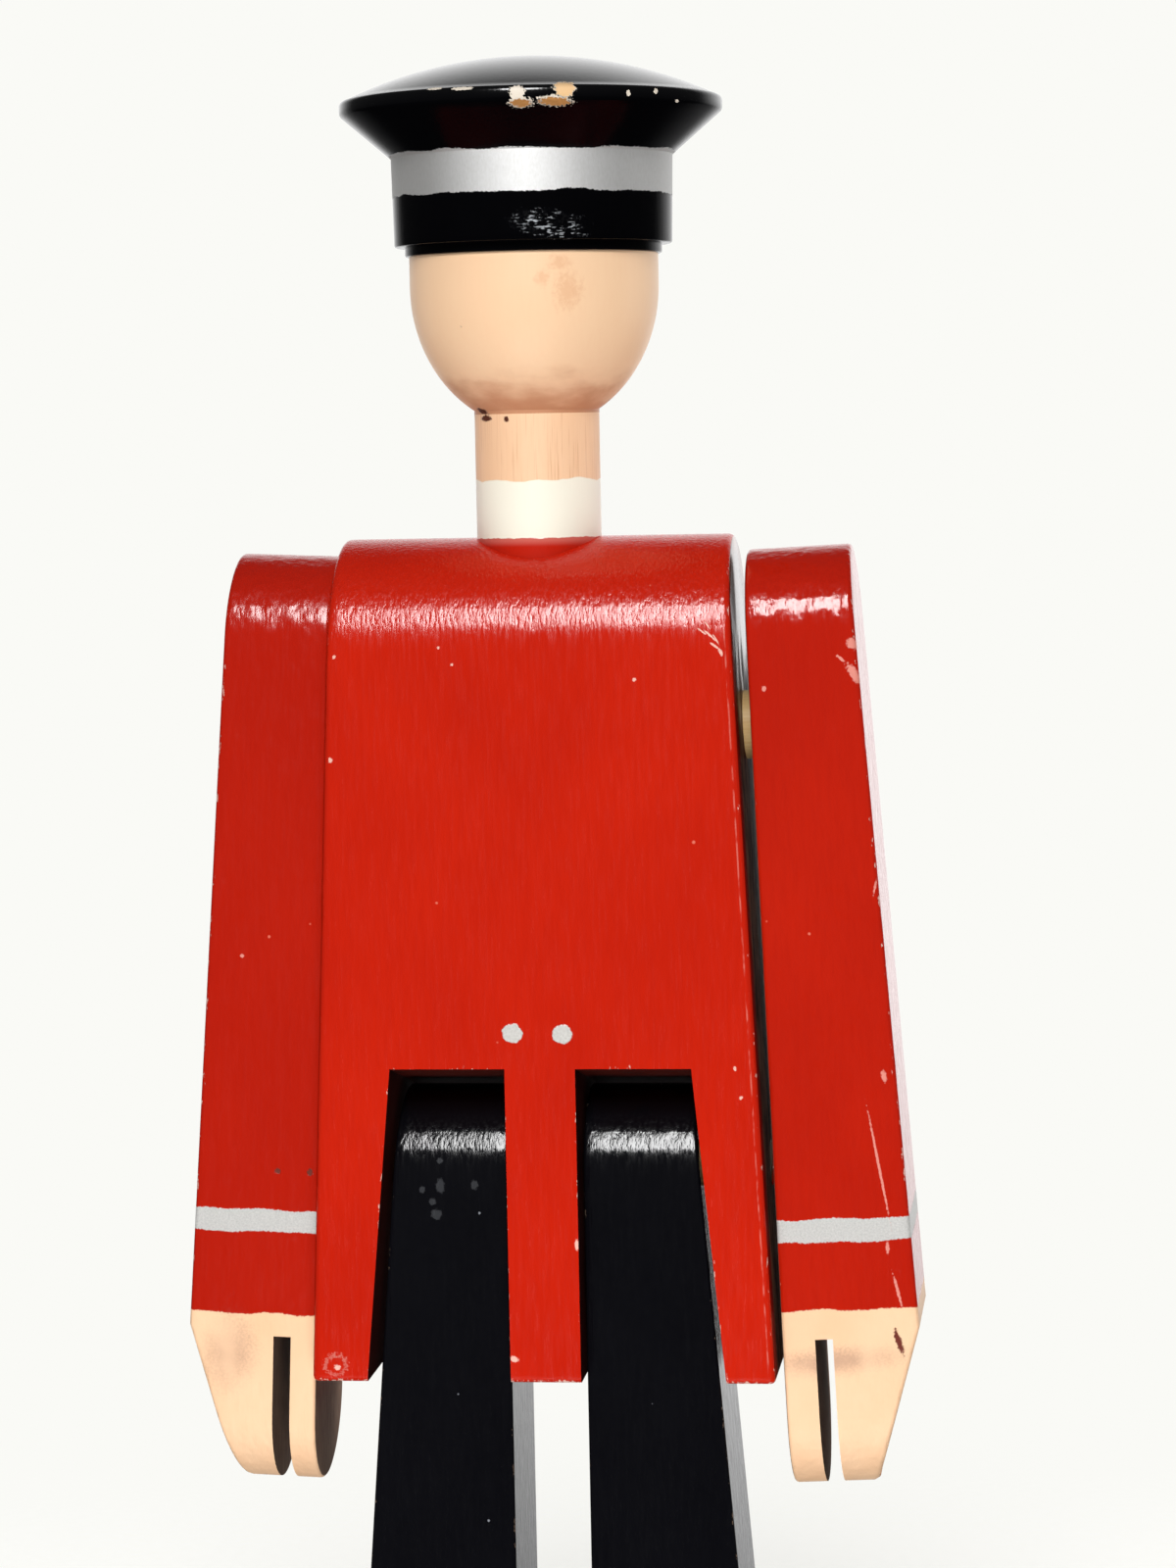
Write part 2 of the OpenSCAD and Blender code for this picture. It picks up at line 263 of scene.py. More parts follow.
def finish_piece(shape, name, body, stands_for, to_soldier=None, smooth_below=35):
    """Turns a shape in millimetres into a finished piece of the soldier, in metres."""
    if to_soldier is not None:
        bmesh.ops.transform(shape, matrix=to_soldier, verts=shape.verts)
    bmesh.ops.scale(shape, vec=(MM, MM, MM), verts=shape.verts)
    bmesh.ops.recalc_face_normals(shape, faces=shape.faces)
    mesh = bpy.data.meshes.new(name)
    shape.to_mesh(mesh)
    shape.free()
    mesh.shade_smooth()
    mesh.set_sharp_from_angle(angle=math.radians(smooth_below))
    piece = bpy.data.objects.new(name, mesh)
    bpy.context.scene.collection.objects.link(piece)
    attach(piece, body)
    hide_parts(stands_for)
    print(name, "has", len(mesh.vertices), "points and", len(mesh.polygons), "faces")
    return piece


# %% [markdown]
# ## Coat block
# The coat is one block, 38 mm thick. Its top is half-round from front to back, its sides lean out
# towards the hem, and two slots for the legs leave three tails. The half-round top is made by
# sanding the two long top edges by half the thickness. It could be drawn as a profile and
# extruded, but the bevel keeps the sides free to be sawn at their slant afterwards.

# %% Saw and sand the coat block
coat = block((-45, -COAT_HALF_T, HEM_Z), (45, COAT_HALF_T, CROWN_Z))
sand(coat, sharp_edges(coat, lambda m: m.z > CROWN_Z - 1 and abs(m.x) < 1), COAT_HALF_T - 0.005, 20)
for side in (-1, 1):
    outward = (side * math.cos(SIDE_LEAN), 0, math.sin(SIDE_LEAN))
    saw(coat, (side * SHOULDER_HALF_W, 0, CROWN_Z), outward)


def coat_rubbed(middle):
    """Hard at the hem and on the back's right edge, less on the others."""
    if middle.z < HEM_Z + 1:
        return 1.25
    if middle.y < -1:
        return 0.72 if middle.x > 0 else 0.45
    return 0.5


outer_edges = sharp_edges(coat)
coat_lines = lines_of(outer_edges, coat_rubbed)
sand(coat, outer_edges, 1.0, 3)
print("rounded", len(outer_edges), "outer edges of the coat")

# %% Saw the leg slots and drill the dowel holes
# Between the coat's slots and its sides
SIDE_X = 33.5
SLOT_TOP_Z = 169.1
SLOT_DROP = 8.6
SLOT_SPREAD = (25.3 - 20.1) / 55.1
TAIL_HALF_W = 6.15
SLOT_W = 20.1


def slot_cutter(side):
    """The wedge of wood that leaves one leg slot: its outer wall leans out, its top slopes."""
    inner = TAIL_HALF_W
    cutter = block((inner, -25, HEM_Z - 10), (inner + SLOT_W, 25, SLOT_TOP_Z))
    slope = Matrix.Identity(3)
    slope[2][1] = -SLOT_DROP / (2 * COAT_HALF_T)
    roof = [vert for vert in cutter.verts if vert.co.z > HEM_Z]
    bmesh.ops.transform(cutter, matrix=slope.to_4x4(), verts=roof)
    bmesh.ops.translate(cutter, vec=(0, 0, -SLOT_DROP / 2), verts=roof)
    for vert in cutter.verts:
        if vert.co.x > inner + 1:
            vert.co.x += (SLOT_TOP_Z - vert.co.z) * SLOT_SPREAD
    bmesh.ops.scale(cutter, vec=(side, 1, 1), verts=cutter.verts)
    bmesh.ops.translate(cutter, vec=(SAW_SHIFT, 0, 0), verts=cutter.verts)
    bmesh.ops.recalc_face_normals(cutter, faces=cutter.faces)
    return cutter


def beside_coat(side, out):
    """A point on an arm peg's axis, so far out from the coat's side."""
    point = Matrix.Rotation(-SIDE_LEAN, 3, "Y") @ Vector((out, 0, 0)) + Vector((PEG_X, 0, PEG_Z))
    return Vector((side * point.x, point.y, point.z))


coat = carve(
    coat,
    slot_cutter(-1),
    slot_cutter(1),
    rod(NECK_R - 0.02, (0, 0, CROWN_Z - 19), (0, 0, CROWN_Z + 5)),
    rod(ARM_PEG_R + 0.05, beside_coat(-1, 3), beside_coat(-1, -21)),
    rod(ARM_PEG_R + 0.05, beside_coat(1, 3), beside_coat(1, -21)),
    rod(HIP_DOWEL_R + 0.03, (-50, 0, HIP_Z), (50, 0, HIP_Z)),
)


def beside_slot(middle):
    """True for the edges of the leg slots on the back and the front face."""
    on_face = abs(middle.y) > COAT_HALF_T - 0.1 and abs(middle.x) < SIDE_X
    return on_face and middle.z < SLOT_TOP_Z + 0.1


slot_edges = sharp_edges(coat, beside_slot)
coat_lines += lines_of(slot_edges, lambda m: 0.38 if m.z > HEM_Z + 4 else 0.6)
print("the coat has", len(slot_edges), "slot edges")

# %% Score the coat and finish it
score(coat, (1, 0, 0), every(2.0, -HEM_HALF_W, HEM_HALF_W))
score(coat, (0, 1, 0), (-17.6, -16, -8, 0, 8, 16, 17.6))
score(coat, (0, 0, 1), [HEM_Z + 1.4, HEM_Z + 2.6] + every(3.0, HEM_Z + 3, CROWN_Z - 19))
wear_down(coat, coat_lines, 1.0)
coat_block = finish_piece(coat, "coat_block", "coat", "torso_block")

# %% [markdown]
# ## Arms
# Each arm is a board, 28 mm thick, sanded half-round at both ends and sawn on its outer side: it
# widens down to the wrist and narrows again to the finger tips. One saw cut parts the thumb from
# the fingers. The arm is built square to its own peg, as it was on the bench, and one matrix then
# leans it against the coat. The left arm is the same recipe mirrored, only pushed closer home, and
# the right one was sawn a millimetre wider at its wrist, on the side of the coat.

# %% Round a corner by stepping a saw plane round it
def round_corner(shape, centre, radius, first, last, steps, across="Y"):
    """Saws planes that touch a circle, from one angle to another, until the corner is round."""
    for count in range(steps):
        angle = math.radians(first + (last - first) * (count + 0.5) / steps)
        if across == "Y":
            outward = Vector((math.cos(angle), 0, math.sin(angle)))
        else:
            outward = Vector((math.cos(angle), math.sin(angle), 0))
        saw(shape, Vector(centre) + outward * radius, outward)


# %% Make both arms
ARM_TOP, TIP, ARM_HALF_T = 30.5, -134.5, 14.0
ARM_W, WRIST_W, TIP_W, TIP_R = 18.1, 22.8, 14.4, 3.0
WRIST = TIP + 29.5
THUMB_W, CUT_W, CUT_L = 4.6, 3.1, 28.0


def arm_rubbed(middle):
    """Hard on the back's outer edge, which hands and shelves touch first."""
    if middle.x > 9:
        return 0.62 if middle.y < 0 else 0.5
    return 0.35


def make_arm(name, side, gap, lean, body):
    """An arm board beside its peg. Lean is how much nearer the coat it comes from the wrist down."""
    arm = block((gap - lean, -ARM_HALF_T, TIP), (gap + WRIST_W + 5, ARM_HALF_T, ARM_TOP))
    ends = sharp_edges(arm, lambda m: abs(m.x - gap - (WRIST_W + 5) / 2) < 1)
    sand(arm, ends, ARM_HALF_T - 0.005, 16)
    if lean:
        saw(arm, (gap, 0, ARM_TOP), (WRIST - ARM_TOP, 0, lean))
    taper = Vector((ARM_TOP - WRIST, 0, WRIST_W - ARM_W))
    saw(arm, (gap + ARM_W, 0, ARM_TOP), taper)
    slant = Vector((WRIST - TIP - TIP_R, 0, TIP_W - WRIST_W))
    saw(arm, (gap + WRIST_W, 0, WRIST), slant)
    round_corner(arm, (gap + TIP_W - TIP_R, 0, TIP + TIP_R), TIP_R, -18, -90, 5)
    edges = sharp_edges(arm)
    lines = lines_of(edges, arm_rubbed)
    sand(arm, edges, 0.7, 3)
    cut_x = gap + THUMB_W
    arm = carve(
        arm,
        block((cut_x, -20, TIP - 5), (cut_x + CUT_W, 20, TIP + CUT_L)),
        rod(ARM_PEG_R + 0.03, (gap - 3, 0, 0), (gap + 12, 0, 0)),
    )
    score(arm, (1, 0, 0), every(1.6, gap, gap + WRIST_W))
    score(arm, (0, 1, 0), (-12.8, -11.4, 0, 11.4, 12.8))
    score(arm, (0, 0, 1), every(3.0, TIP + 14, ARM_TOP - 14))
    wear_down(arm, lines, 1.1)
    home = Matrix.Translation((PEG_X, 0, PEG_Z)) @ Matrix.Rotation(-SIDE_LEAN, 4, "Y")
    if side < 0:
        home = Matrix.Diagonal((-1, 1, 1, 1)) @ home
    return finish_piece(arm, name, body, name.replace("_board", ""), home)


LEFT_GAP, RIGHT_GAP = 0.3, 2.2
left_arm_board = make_arm("left_arm_board", -1, LEFT_GAP, 0, "left_arm_body")
right_arm_board = make_arm("right_arm_board", 1, RIGHT_GAP, 1.1, "right_arm_body")

# %% [markdown]
# ## Legs and boots
# A leg is sawn from the same 28 mm board as the arms, with a half-round top that lets it swing in
# its slot. Its inner side is straight and its outer side follows the slot. The boot is a low block
# with a round toe. The toe is made by stepping saw planes round a half circle, as a sanding disc
# does, since a bevel of half the boot's width would run into the rounded top of the toe.

# %% Make both legs
LEG_HALF_T = 14.0
BOOT_TOP = 14.0
LEG_INNER = TAIL_HALF_W + 0.5
ANKLE_W = 31.2
LEG_HIP_W = SLOT_W + (SLOT_TOP_Z - HIP_Z) * SLOT_SPREAD - 0.5 - 1.15
LEG_SPREAD = (ANKLE_W - LEG_HIP_W) / (HIP_Z - BOOT_TOP)


def onto_leg(side):
    """The matrix that puts a right leg's part on the right or the left leg."""
    return Matrix.Translation((SAW_SHIFT, 0, 0)) @ Matrix.Diagonal((side, 1, 1, 1))


def make_leg(name, side, body):
    """A leg board on its side, hung on the hip dowel."""
    top = HIP_Z + LEG_HALF_T
    leg = block((LEG_INNER, -LEG_HALF_T, BOOT_TOP), (LEG_INNER + ANKLE_W + 5, LEG_HALF_T, top))
    long_edges = sharp_edges(leg, lambda m: m.z > top - 1 and abs(m.x - LEG_INNER) > 5)
    long_edges = [edge for edge in long_edges if abs((edge.verts[0].co - edge.verts[1].co).x) > 1]
    sand(leg, long_edges, LEG_HALF_T - 0.005, 14)
    saw(leg, (LEG_INNER + ANKLE_W, 0, BOOT_TOP), (1, 0, LEG_SPREAD))
    edges = sharp_edges(leg, lambda m: m.z > BOOT_TOP + 0.1)
    lines = lines_of(edges, lambda m: 0.45)
    sand(leg, edges, 0.5, 3)
    hip_hole = rod(HIP_DOWEL_R + 0.05, (LEG_INNER - 5, 0, HIP_Z), (LEG_INNER + 60, 0, HIP_Z))
    leg = carve(leg, hip_hole)
    score(leg, (1, 0, 0), every(2.0, LEG_INNER, LEG_INNER + ANKLE_W))
    score(leg, (0, 1, 0), (-13.1, -11.9, 0, 11.9, 13.1))
    score(leg, (0, 0, 1), every(3.0, BOOT_TOP, HIP_Z - 6))
    wear_down(leg, lines, 1.0)
    solid = name.replace("_board", "")
    return finish_piece(leg, name, body, solid, onto_leg(side))


left_leg_board = make_leg("left_leg_board", -1, "left_leg_body")
right_leg_board = make_leg("right_leg_board", 1, "right_leg_body")

# %% Make both boots
BOOT_HALF_W = ANKLE_W / 2 + 1
ANKLE_X = LEG_INNER + ANKLE_W / 2
HEEL_Y, TOE_Y = -16.0, 34.0
TOE_TOP_R = BOOT_TOP * 0.45


def make_boot(name, side, body):
    """A boot block under the leg of its side."""
    boot = block((ANKLE_X - BOOT_HALF_W, HEEL_Y, 0), (ANKLE_X + BOOT_HALF_W, TOE_Y, BOOT_TOP))
    toe_top = sharp_edges(boot, lambda m: m.z > BOOT_TOP - 1 and m.y > TOE_Y - 1)
    sand(boot, toe_top, TOE_TOP_R, 8)
    round_corner(boot, (ANKLE_X, TOE_Y - BOOT_HALF_W, 0), BOOT_HALF_W, 2, 178, 24, across="Z")
    edges = sharp_edges(boot)
    lines = lines_of(edges, lambda m: 0.75 if m.z < 1 else 0.55)
    sand(boot, edges, 0.6, 3)
    score(boot, (1, 0, 0), every(2.5, ANKLE_X - BOOT_HALF_W, ANKLE_X + BOOT_HALF_W))
    score(boot, (0, 1, 0), every(2.5, HEEL_Y, TOE_Y))
    score(boot, (0, 0, 1), (1.5, 3, 6, 9, 12))
    wear_down(boot, lines, 1.2)
    solid = name.replace("_block", "")
    return finish_piece(boot, name, body, solid, onto_leg(side))


left_boot_block = make_boot("left_boot_block", -1, "left_leg_body")
right_boot_block = make_boot("right_boot_block", 1, "right_leg_body")

# %% [markdown]
# ## Turned parts
# Neck, head and cap came off a lathe, so each is a profile that is spun round the upright axis. The
# profile starts and ends on the axis, which closes the solid, and the points on the axis are merged
# into one afterwards. The blind holes for the dowels are simply part of the profile. Sharp rings
# are then sanded a little, because paint never leaves a turned edge quite sharp.

# %% Spin a profile
def arc(middle, across, rise, first, last, steps):
    """Points on an oval round a middle, from one angle to another in degrees."""
    turns = [math.radians(first + (last - first) * i / steps) for i in range(steps + 1)]
    return [(middle[0] + across * math.cos(t), middle[1] + rise * math.sin(t)) for t in turns]


def turn_on_lathe(profile, steps=128):
    """Spins a profile of radius and height round the Z axis into a closed solid."""
    shape = bmesh.new()
    verts = [shape.verts.new((radius, 0, height)) for radius, height in profile]
    edges = [shape.edges.new(pair) for pair in zip(verts, verts[1:])]
    bmesh.ops.spin(
        shape,
        geom=verts + edges,
        axis=(0, 0, 1),
        cent=(0, 0, 0),
        angle=math.tau,
        steps=steps,
        use_merge=True,
    )
    bmesh.ops.remove_doubles(shape, verts=shape.verts, dist=0.001)
    bmesh.ops.recalc_face_normals(shape, faces=shape.faces)
    return shape


def steps_between(start, end, count):
    """Points along a straight piece of a profile, without its start."""
    return [
        (start[0] + (end[0] - start[0]) * i / count, start[1] + (end[1] - start[1]) * i / count)
        for i in range(1, count + 1)
    ]


# %% Turn the neck and the head
neck_foot, neck_top = CROWN_Z - 18, HEAD_Z + 14
neck = turn_on_lathe(
    [(0, neck_foot), (NECK_R, neck_foot)]
    + steps_between((NECK_R, neck_foot), (NECK_R, neck_top), 18)
    + [(0, neck_top)],
    96,
)
neck_rod = finish_piece(neck, "neck_rod", "head_and_cap", "neck_dowel")

CAP_HOLE_R = 4.78
HEAD_R = 21.7
JAW_H = 22.5
JAW_SHARE = 1.11
chin_turn = math.degrees(math.asin(1 / JAW_SHARE))
jaw = arc((0, HEAD_Z + JAW_H), HEAD_R, JAW_H * JAW_SHARE, -chin_turn, 0, 36)
head_profile = (
    [(0, HEAD_Z + 15), (NECK_R + 0.03, HEAD_Z + 15), (NECK_R + 0.03, HEAD_Z)]
    + jaw
    + steps_between(jaw[-1], (HEAD_R, CAP_Z), 4)
    + [(CAP_HOLE_R, CAP_Z), (CAP_HOLE_R, CAP_Z - 10), (0, CAP_Z - 10)]
)
head = turn_on_lathe(head_profile)
sand(head, sharp_edges(head, lambda m: abs(m.z - HEAD_Z) < 0.1 and m.xy.length > 8), 0.35, 2)
head_ball = finish_piece(head, "head_ball", "head_and_cap", "head")

# %% [markdown]
# ## Cap and visor
# The cap is one turning: a narrow step, an upright band, a cone that flares out to the rim, and a
# low dome. The cone meets the rim's lower rounding as a tangent, so its slope is worked out from the
# two. The dome is a slice of a large ball. The visor is a thin plate cut to a crescent. It could be
# a curved sheet, but a plate glued in a sloping groove is what a workshop with a saw would make.

# %% Turn the cap
STEP_R, BAND_Z, BAND_R, BAND_TOP_R = 22.4, 311.0, 24.2, 24.5
FLARE_Z, RIM_Z, DOME_Z, RIM_R, RIM_EDGE, DOME_H = 326.3, 333.3, 336.3, 33.3, 1.0, 7.2
band_top = (BAND_TOP_R, FLARE_Z)
low = (RIM_R - RIM_EDGE, RIM_Z + RIM_EDGE)
high = (RIM_R - RIM_EDGE, DOME_Z - RIM_EDGE)
slope = math.atan2(low[1] - FLARE_Z, low[0] - BAND_TOP_R)
slope -= math.asin(RIM_EDGE / math.dist(low, band_top))
under = arc(low, RIM_EDGE, RIM_EDGE, math.degrees(slope) - 90, 0, 5)
over = arc(high, RIM_EDGE, RIM_EDGE, 0, 90, 5)
ball_r = (high[0] ** 2 + DOME_H**2) / (2 * DOME_H)
dome_turn = math.degrees(math.asin(high[0] / ball_r))
dome = arc((0, DOME_Z + DOME_H - ball_r), ball_r, ball_r, 90 - dome_turn, 90, 24)
cap_profile = (
    [(0, CAP_Z + 13), (CAP_HOLE_R, CAP_Z + 13), (CAP_HOLE_R, CAP_Z)]
    + [(STEP_R, CAP_Z), (STEP_R, BAND_Z), (BAND_R, BAND_Z)]
    + steps_between((BAND_R, BAND_Z), band_top, 10)
    + steps_between(band_top, under[0], 8)
    + under[1:]
    + over
    + dome[1:]
)
cap = turn_on_lathe(cap_profile, 160)
rings = sharp_edges(cap, lambda m: m.xy.length > 20 and m.z < BAND_Z + 0.1)
sand(cap, rings, 0.35, 2)
cap_turning = finish_piece(cap, "cap_turning", "head_and_cap", "cap")
print("cone:", round(math.degrees(slope), 1), "degrees; dome: ball radius", round(ball_r))

# %% Saw the visor
VISOR_R, VISOR_OUT, VISOR_T, VISOR_SLOPE = 20.0, 11.0, 2.0, 18.0
VISOR_Z = BAND_Z + 3.5
visor_y = BAND_R + VISOR_OUT - VISOR_R
visor = rod(VISOR_R, (0, visor_y, -VISOR_T / 2), (0, visor_y, VISOR_T / 2), 96)
visor = carve(visor, rod(BAND_R - 3.5, (0, 0, -5), (0, 0, 5), 96))
visor_edges = sharp_edges(visor)
visor_lines = lines_of(visor_edges, lambda m: 0.6)
sand(visor, visor_edges, 0.5, 2)
wear_down(visor, visor_lines, 1.0)
tilt = (
    Matrix.Translation((0, BAND_R, VISOR_Z))
    @ Matrix.Rotation(math.radians(-VISOR_SLOPE), 4, "X")
    @ Matrix.Translation((0, -BAND_R, 0))
)
visor_plate = finish_piece(
    visor, "visor_plate", "head_and_cap", "cap_visor", tilt
)

# %% [markdown]
# ## Paint
# Every painted surface here is built the way it was painted. A surface starts as wood under a first
# coat, and each later coat, chip or stain is laid over it where its own mask is 1. So a coat has
# a colour, a roughness, a share of metal and a thickness, and one helper lays all four at once.
# The thickness is in millimetres and drives a bump, so a chip has a step round it and a stripe
# stands up a little, without any more mesh.

# %% Colours, nodes and coats of paint
def linear(code):
    """A colour written as in a picture editor, as the light that Blender works with."""
    parts = [int(code[i : i + 2], 16) / 255 for i in (1, 3, 5)]
    return [p / 12.92 if p <= 0.04045 else ((p + 0.055) / 1.055) ** 2.4 for p in parts] + [1.0]


def add(tree, kind, settings=(), inputs=(), out=0):
    """Adds a node and gives one of its outputs. Its inputs come by name, or in their own order.

    A colour may come as its code. An output node has no outputs of its own and gives None."""
    made = tree.nodes.new("ShaderNode" + kind)
    for name, value in dict(settings).items():
        setattr(made, name, value)
    if not isinstance(inputs, dict):
        inputs = dict(enumerate(inputs))
    for name, value in inputs.items():
        if isinstance(value, bpy.types.NodeSocket):
            tree.links.new(value, made.inputs[name])
        else:
            made.inputs[name].default_value = linear(value) if isinstance(value, str) else value
    return made.outputs[out] if made.outputs else None


# Settings that come back often. COLOURS lets a Mix node blend the colours at its inputs 6 and 7 by
# its input 0. SOFT is a soft step: its inputs are value, from low, from high, to low and to high
COLOURS = {"data_type": "RGBA"}
SOFT = {"interpolation_type": "SMOOTHSTEP"}
PLUS = {"operation": "ADD"}
MINUS = {"operation": "SUBTRACT"}
TIMES = {"operation": "MULTIPLY"}
TIMES_PLUS = {"operation": "MULTIPLY_ADD"}
SIZE_OF = {"operation": "ABSOLUTE"}


def new_material(name):
    """An empty node material and its tree."""
    material = bpy.data.materials.new(name)
    material.use_nodes = True
    material.node_tree.nodes.clear()
    return material, material.node_tree


def lay(tree, under, share, colour, rough, metal=0.0, thick=0.0):
    """Lays a coat over a surface where share is 1, and gives the new surface."""
    over = {}
    over["colour"] = add(tree, "Mix", COLOURS, {0: share, 6: under["colour"], 7: colour}, out=2)
    over["rough"] = add(tree, "Mix", {}, {0: share, 2: under["rough"], 3: rough})
    over["metal"] = add(tree, "Mix", {}, {0: share, 2: under["metal"], 3: metal})
    over["height"] = add(tree, "Math", TIMES_PLUS, (share, thick, under["height"]))
    return over


def close(material, surface, pieces=(), shine=0.5):
    """Joins a surface to the shader and gives it to its pieces. Raw wood shines less than enamel."""
    tree = material.node_tree
    bump = add(tree, "Bump", {}, {"Strength": 1.0, "Distance": MM, "Height": surface["height"]})
    shader = add(
        tree,
        "BsdfPrincipled",
        {},
        {
            "Base Color": surface["colour"],
            "Roughness": surface["rough"],
            "Metallic": surface["metal"],
            "Normal": bump,
            "IOR": 1.5,
            "Specular IOR Level": shine,
        },
    )
    add(tree, "OutputMaterial", {}, {"Surface": shader})
    for piece in pieces:
        piece.data.materials.append(material)


print("brown as light:", [round(p, 3) for p in linear("#8A5A2B")])

# %% [markdown]
# ## Where a pattern sits
# A pattern on the wood is given in millimetres from a point that means something on that piece, such
# as the arm peg's axis. Object coordinates do that: one Mapping node scales them to millimetres and,
# for the arms, turns them square to the board. Noise with a long cell along the grain and a short one
# across it draws the grain, which shows through the paint as fine upright streaks, because the
# brush and the grain both run that way.

# %% Coordinates, streaks, specks and ovals
def millimetres(tree, side=1, arm=False):
    """Object coordinates in millimetres. On an arm they start at its peg, square to its board."""
    metres = add(tree, "TexCoord", out="Object")
    settings = {"Vector": metres, "Scale": (side * 1000, 1000, 1000)}
    if arm:
        lean = Matrix.Rotation(SIDE_LEAN, 3, "Y")
        settings["Location"] = -(lean @ Vector((PEG_X, 0, PEG_Z)))
        settings["Rotation"] = (0, SIDE_LEAN, 0)
    return add(tree, "Mapping", {}, settings)


def noise(tree, place, cell, detail=2.0, harsh=0.5, step=None):
    """Noise with lumps as long as cell, in millimetres, or a soft step of it if one is given."""
    stretched = add(tree, "VectorMath", {"operation": "DIVIDE"}, (place, cell))
    settings = {"Vector": stretched, "Scale": 1.0, "Detail": detail, "Roughness": harsh}
    lumps = add(tree, "TexNoise", {}, settings)
    return add(tree, "MapRange", SOFT, (lumps, *step)) if step else lumps


def ovals(tree, place, ragged, shapes, soft=0.25):
    """1 inside any of some ovals, each given as its middle, its half sizes and its turn."""
    covered = 0.0
    for middle, half, turn in shapes:
        fit = {"Vector": place, "Location": middle, "Scale": half}
        fit["Rotation"] = (0, math.radians(turn), 0)
        inside = add(tree, "Mapping", {"vector_type": "TEXTURE"}, fit)
        far = add(tree, "VectorMath", {"operation": "LENGTH"}, (inside,), out="Value")
        torn = add(tree, "Math", PLUS, (far, ragged))
        shape = add(tree, "MapRange", SOFT, (torn, 1 + soft, 1 - soft))
        covered = add(tree, "Math", {"operation": "MAXIMUM"}, (covered, shape))
    return covered


def unsteady_height(tree, place, ragged, slow, wave):
    """The height, unsteady as a painted line: a wave of that length and height, and crumbs."""
    rise = add(tree, "SeparateXYZ", {}, (place,), out="Z")
    swing = noise(tree, place, (slow, slow, slow), step=(0.2, 0.8, -wave, wave))
    crumbs = add(tree, "Math", TIMES_PLUS, (ragged, 0.4, swing))
    return add(tree, "Math", PLUS, (rise, crumbs))


def band(tree, value, middle, half, soft):
    """1 where a value is within half of a middle, 0 beyond, with a soft edge."""
    off = add(tree, "Math", MINUS, (value, middle))
    off = add(tree, "Math", SIZE_OF, (off,))
    return add(tree, "MapRange", SOFT, (off, half + soft, half - soft))


def specks(tree, place, apart, radius, share):
    """Small round specks, about one in each cell of some millimetres, of which a share shows."""
    cells = {"Vector": place, "Scale": 1 / apart}
    away = add(tree, "TexVoronoi", {}, cells, out="Distance")
    chance = add(tree, "TexVoronoi", {}, cells, out="Color")
    picked = add(tree, "SeparateColor", {}, (chance,))
    dot = add(tree, "MapRange", SOFT, (away, radius / apart * 1.3, radius / apart * 0.7))
    shown = add(tree, "MapRange", SOFT, (picked, share, share - 0.01))
    return add(tree, "Math", TIMES, (dot, shown))


# %% [markdown]
# ## Enamel on wood
# The soldier is painted with brushed gloss enamel over a pale first coat on beech. Enamel gives the
# eye three things: a strong even colour, a clear highlight from the varnish-like binder, and fine
# ridges left by the brush and the grain, which break that highlight into upright streaks. The
# function below makes the wood, the first coat and the colour coat, worn through at the edges.

# %% One enamel surface, worn at its edges
def enamel(tree, place, shades, rough, streaks, lumpy=0.0, first_coat="#E8B9AA", worn_edges=True):
    """A colour coat on a first coat on wood. Streaks and lumpy are the heights of its relief."""
    shade, shade_dark = shades
    grain = noise(tree, place, (0.75, 0.75, 6.0), 3.0, 0.6)
    cloud = noise(tree, place, (22, 22, 34))
    wood_tone = add(tree, "Mix", COLOURS, {0: grain, 6: "#B98550", 7: "#8F5F35"}, out=2)
    surface = {"colour": wood_tone, "rough": 0.6, "metal": 0.0, "height": 0.0}
    has_first = has_colour = 1.0
    if worn_edges:
        worn = add(tree, "Attribute", {"attribute_name": "worn"}, out="Fac")
        broken = noise(tree, place, (0.9, 0.9, 2.6), 4.0, 0.65, step=(0.25, 0.75, -0.42, 0.42))
        rubbed = add(tree, "Math", PLUS, (worn, broken))
        has_first = add(tree, "MapRange", SOFT, (rubbed, 1.02, 0.95))
        has_colour = add(tree, "MapRange", SOFT, (rubbed, 0.70, 0.62))
    surface = lay(tree, surface, has_first, first_coat, 0.5, thick=0.03)
    tone = add(tree, "Mix", COLOURS, {0: cloud, 6: shade, 7: shade_dark}, out=2)
    streak_tone = add(tree, "MapRange", SOFT, (grain, 0.35, 0.8, 0.0, 0.35))
    tone = add(tree, "Mix", COLOURS, {0: streak_tone, 6: tone, 7: shade_dark}, out=2)
    hairs = noise(tree, place, (0.55, 0.55, 5.0))
    uneven = min(0.38, streaks * 30)
    smoothest, roughest = rough * (1 - uneven), rough * (1 + uneven)
    sheen = add(tree, "MapRange", SOFT, (hairs, 0.3, 0.7, smoothest, roughest))
    surface = lay(tree, surface, has_colour, tone, sheen, thick=0.05)
    ridges = add(tree, "MapRange", SOFT, (hairs, 0.2, 0.8, -streaks, streaks))
    peel = noise(tree, place, (0.5, 0.5, 0.5), step=(0.2, 0.8, -streaks * 0.08, streaks * 0.08))
    lumps = noise(tree, place, (2.2, 2.2, 3.0), 1.0, step=(0.2, 0.8, -lumpy, lumpy))
    for bumps in (ridges, peel, lumps):
        surface["height"] = add(tree, "Math", PLUS, (surface["height"], bumps))
    return surface


def raggedness(tree, place, size=0.45, amount=0.35):
    """A small uneven amount, to tear the outline of a mark or a painted line."""
    return noise(tree, place, (size, size, size), 3.0, 0.6, step=(0.2, 0.8, -amount, amount))


# %% Paint the coat block red
SILVER = "#F0EEEA"

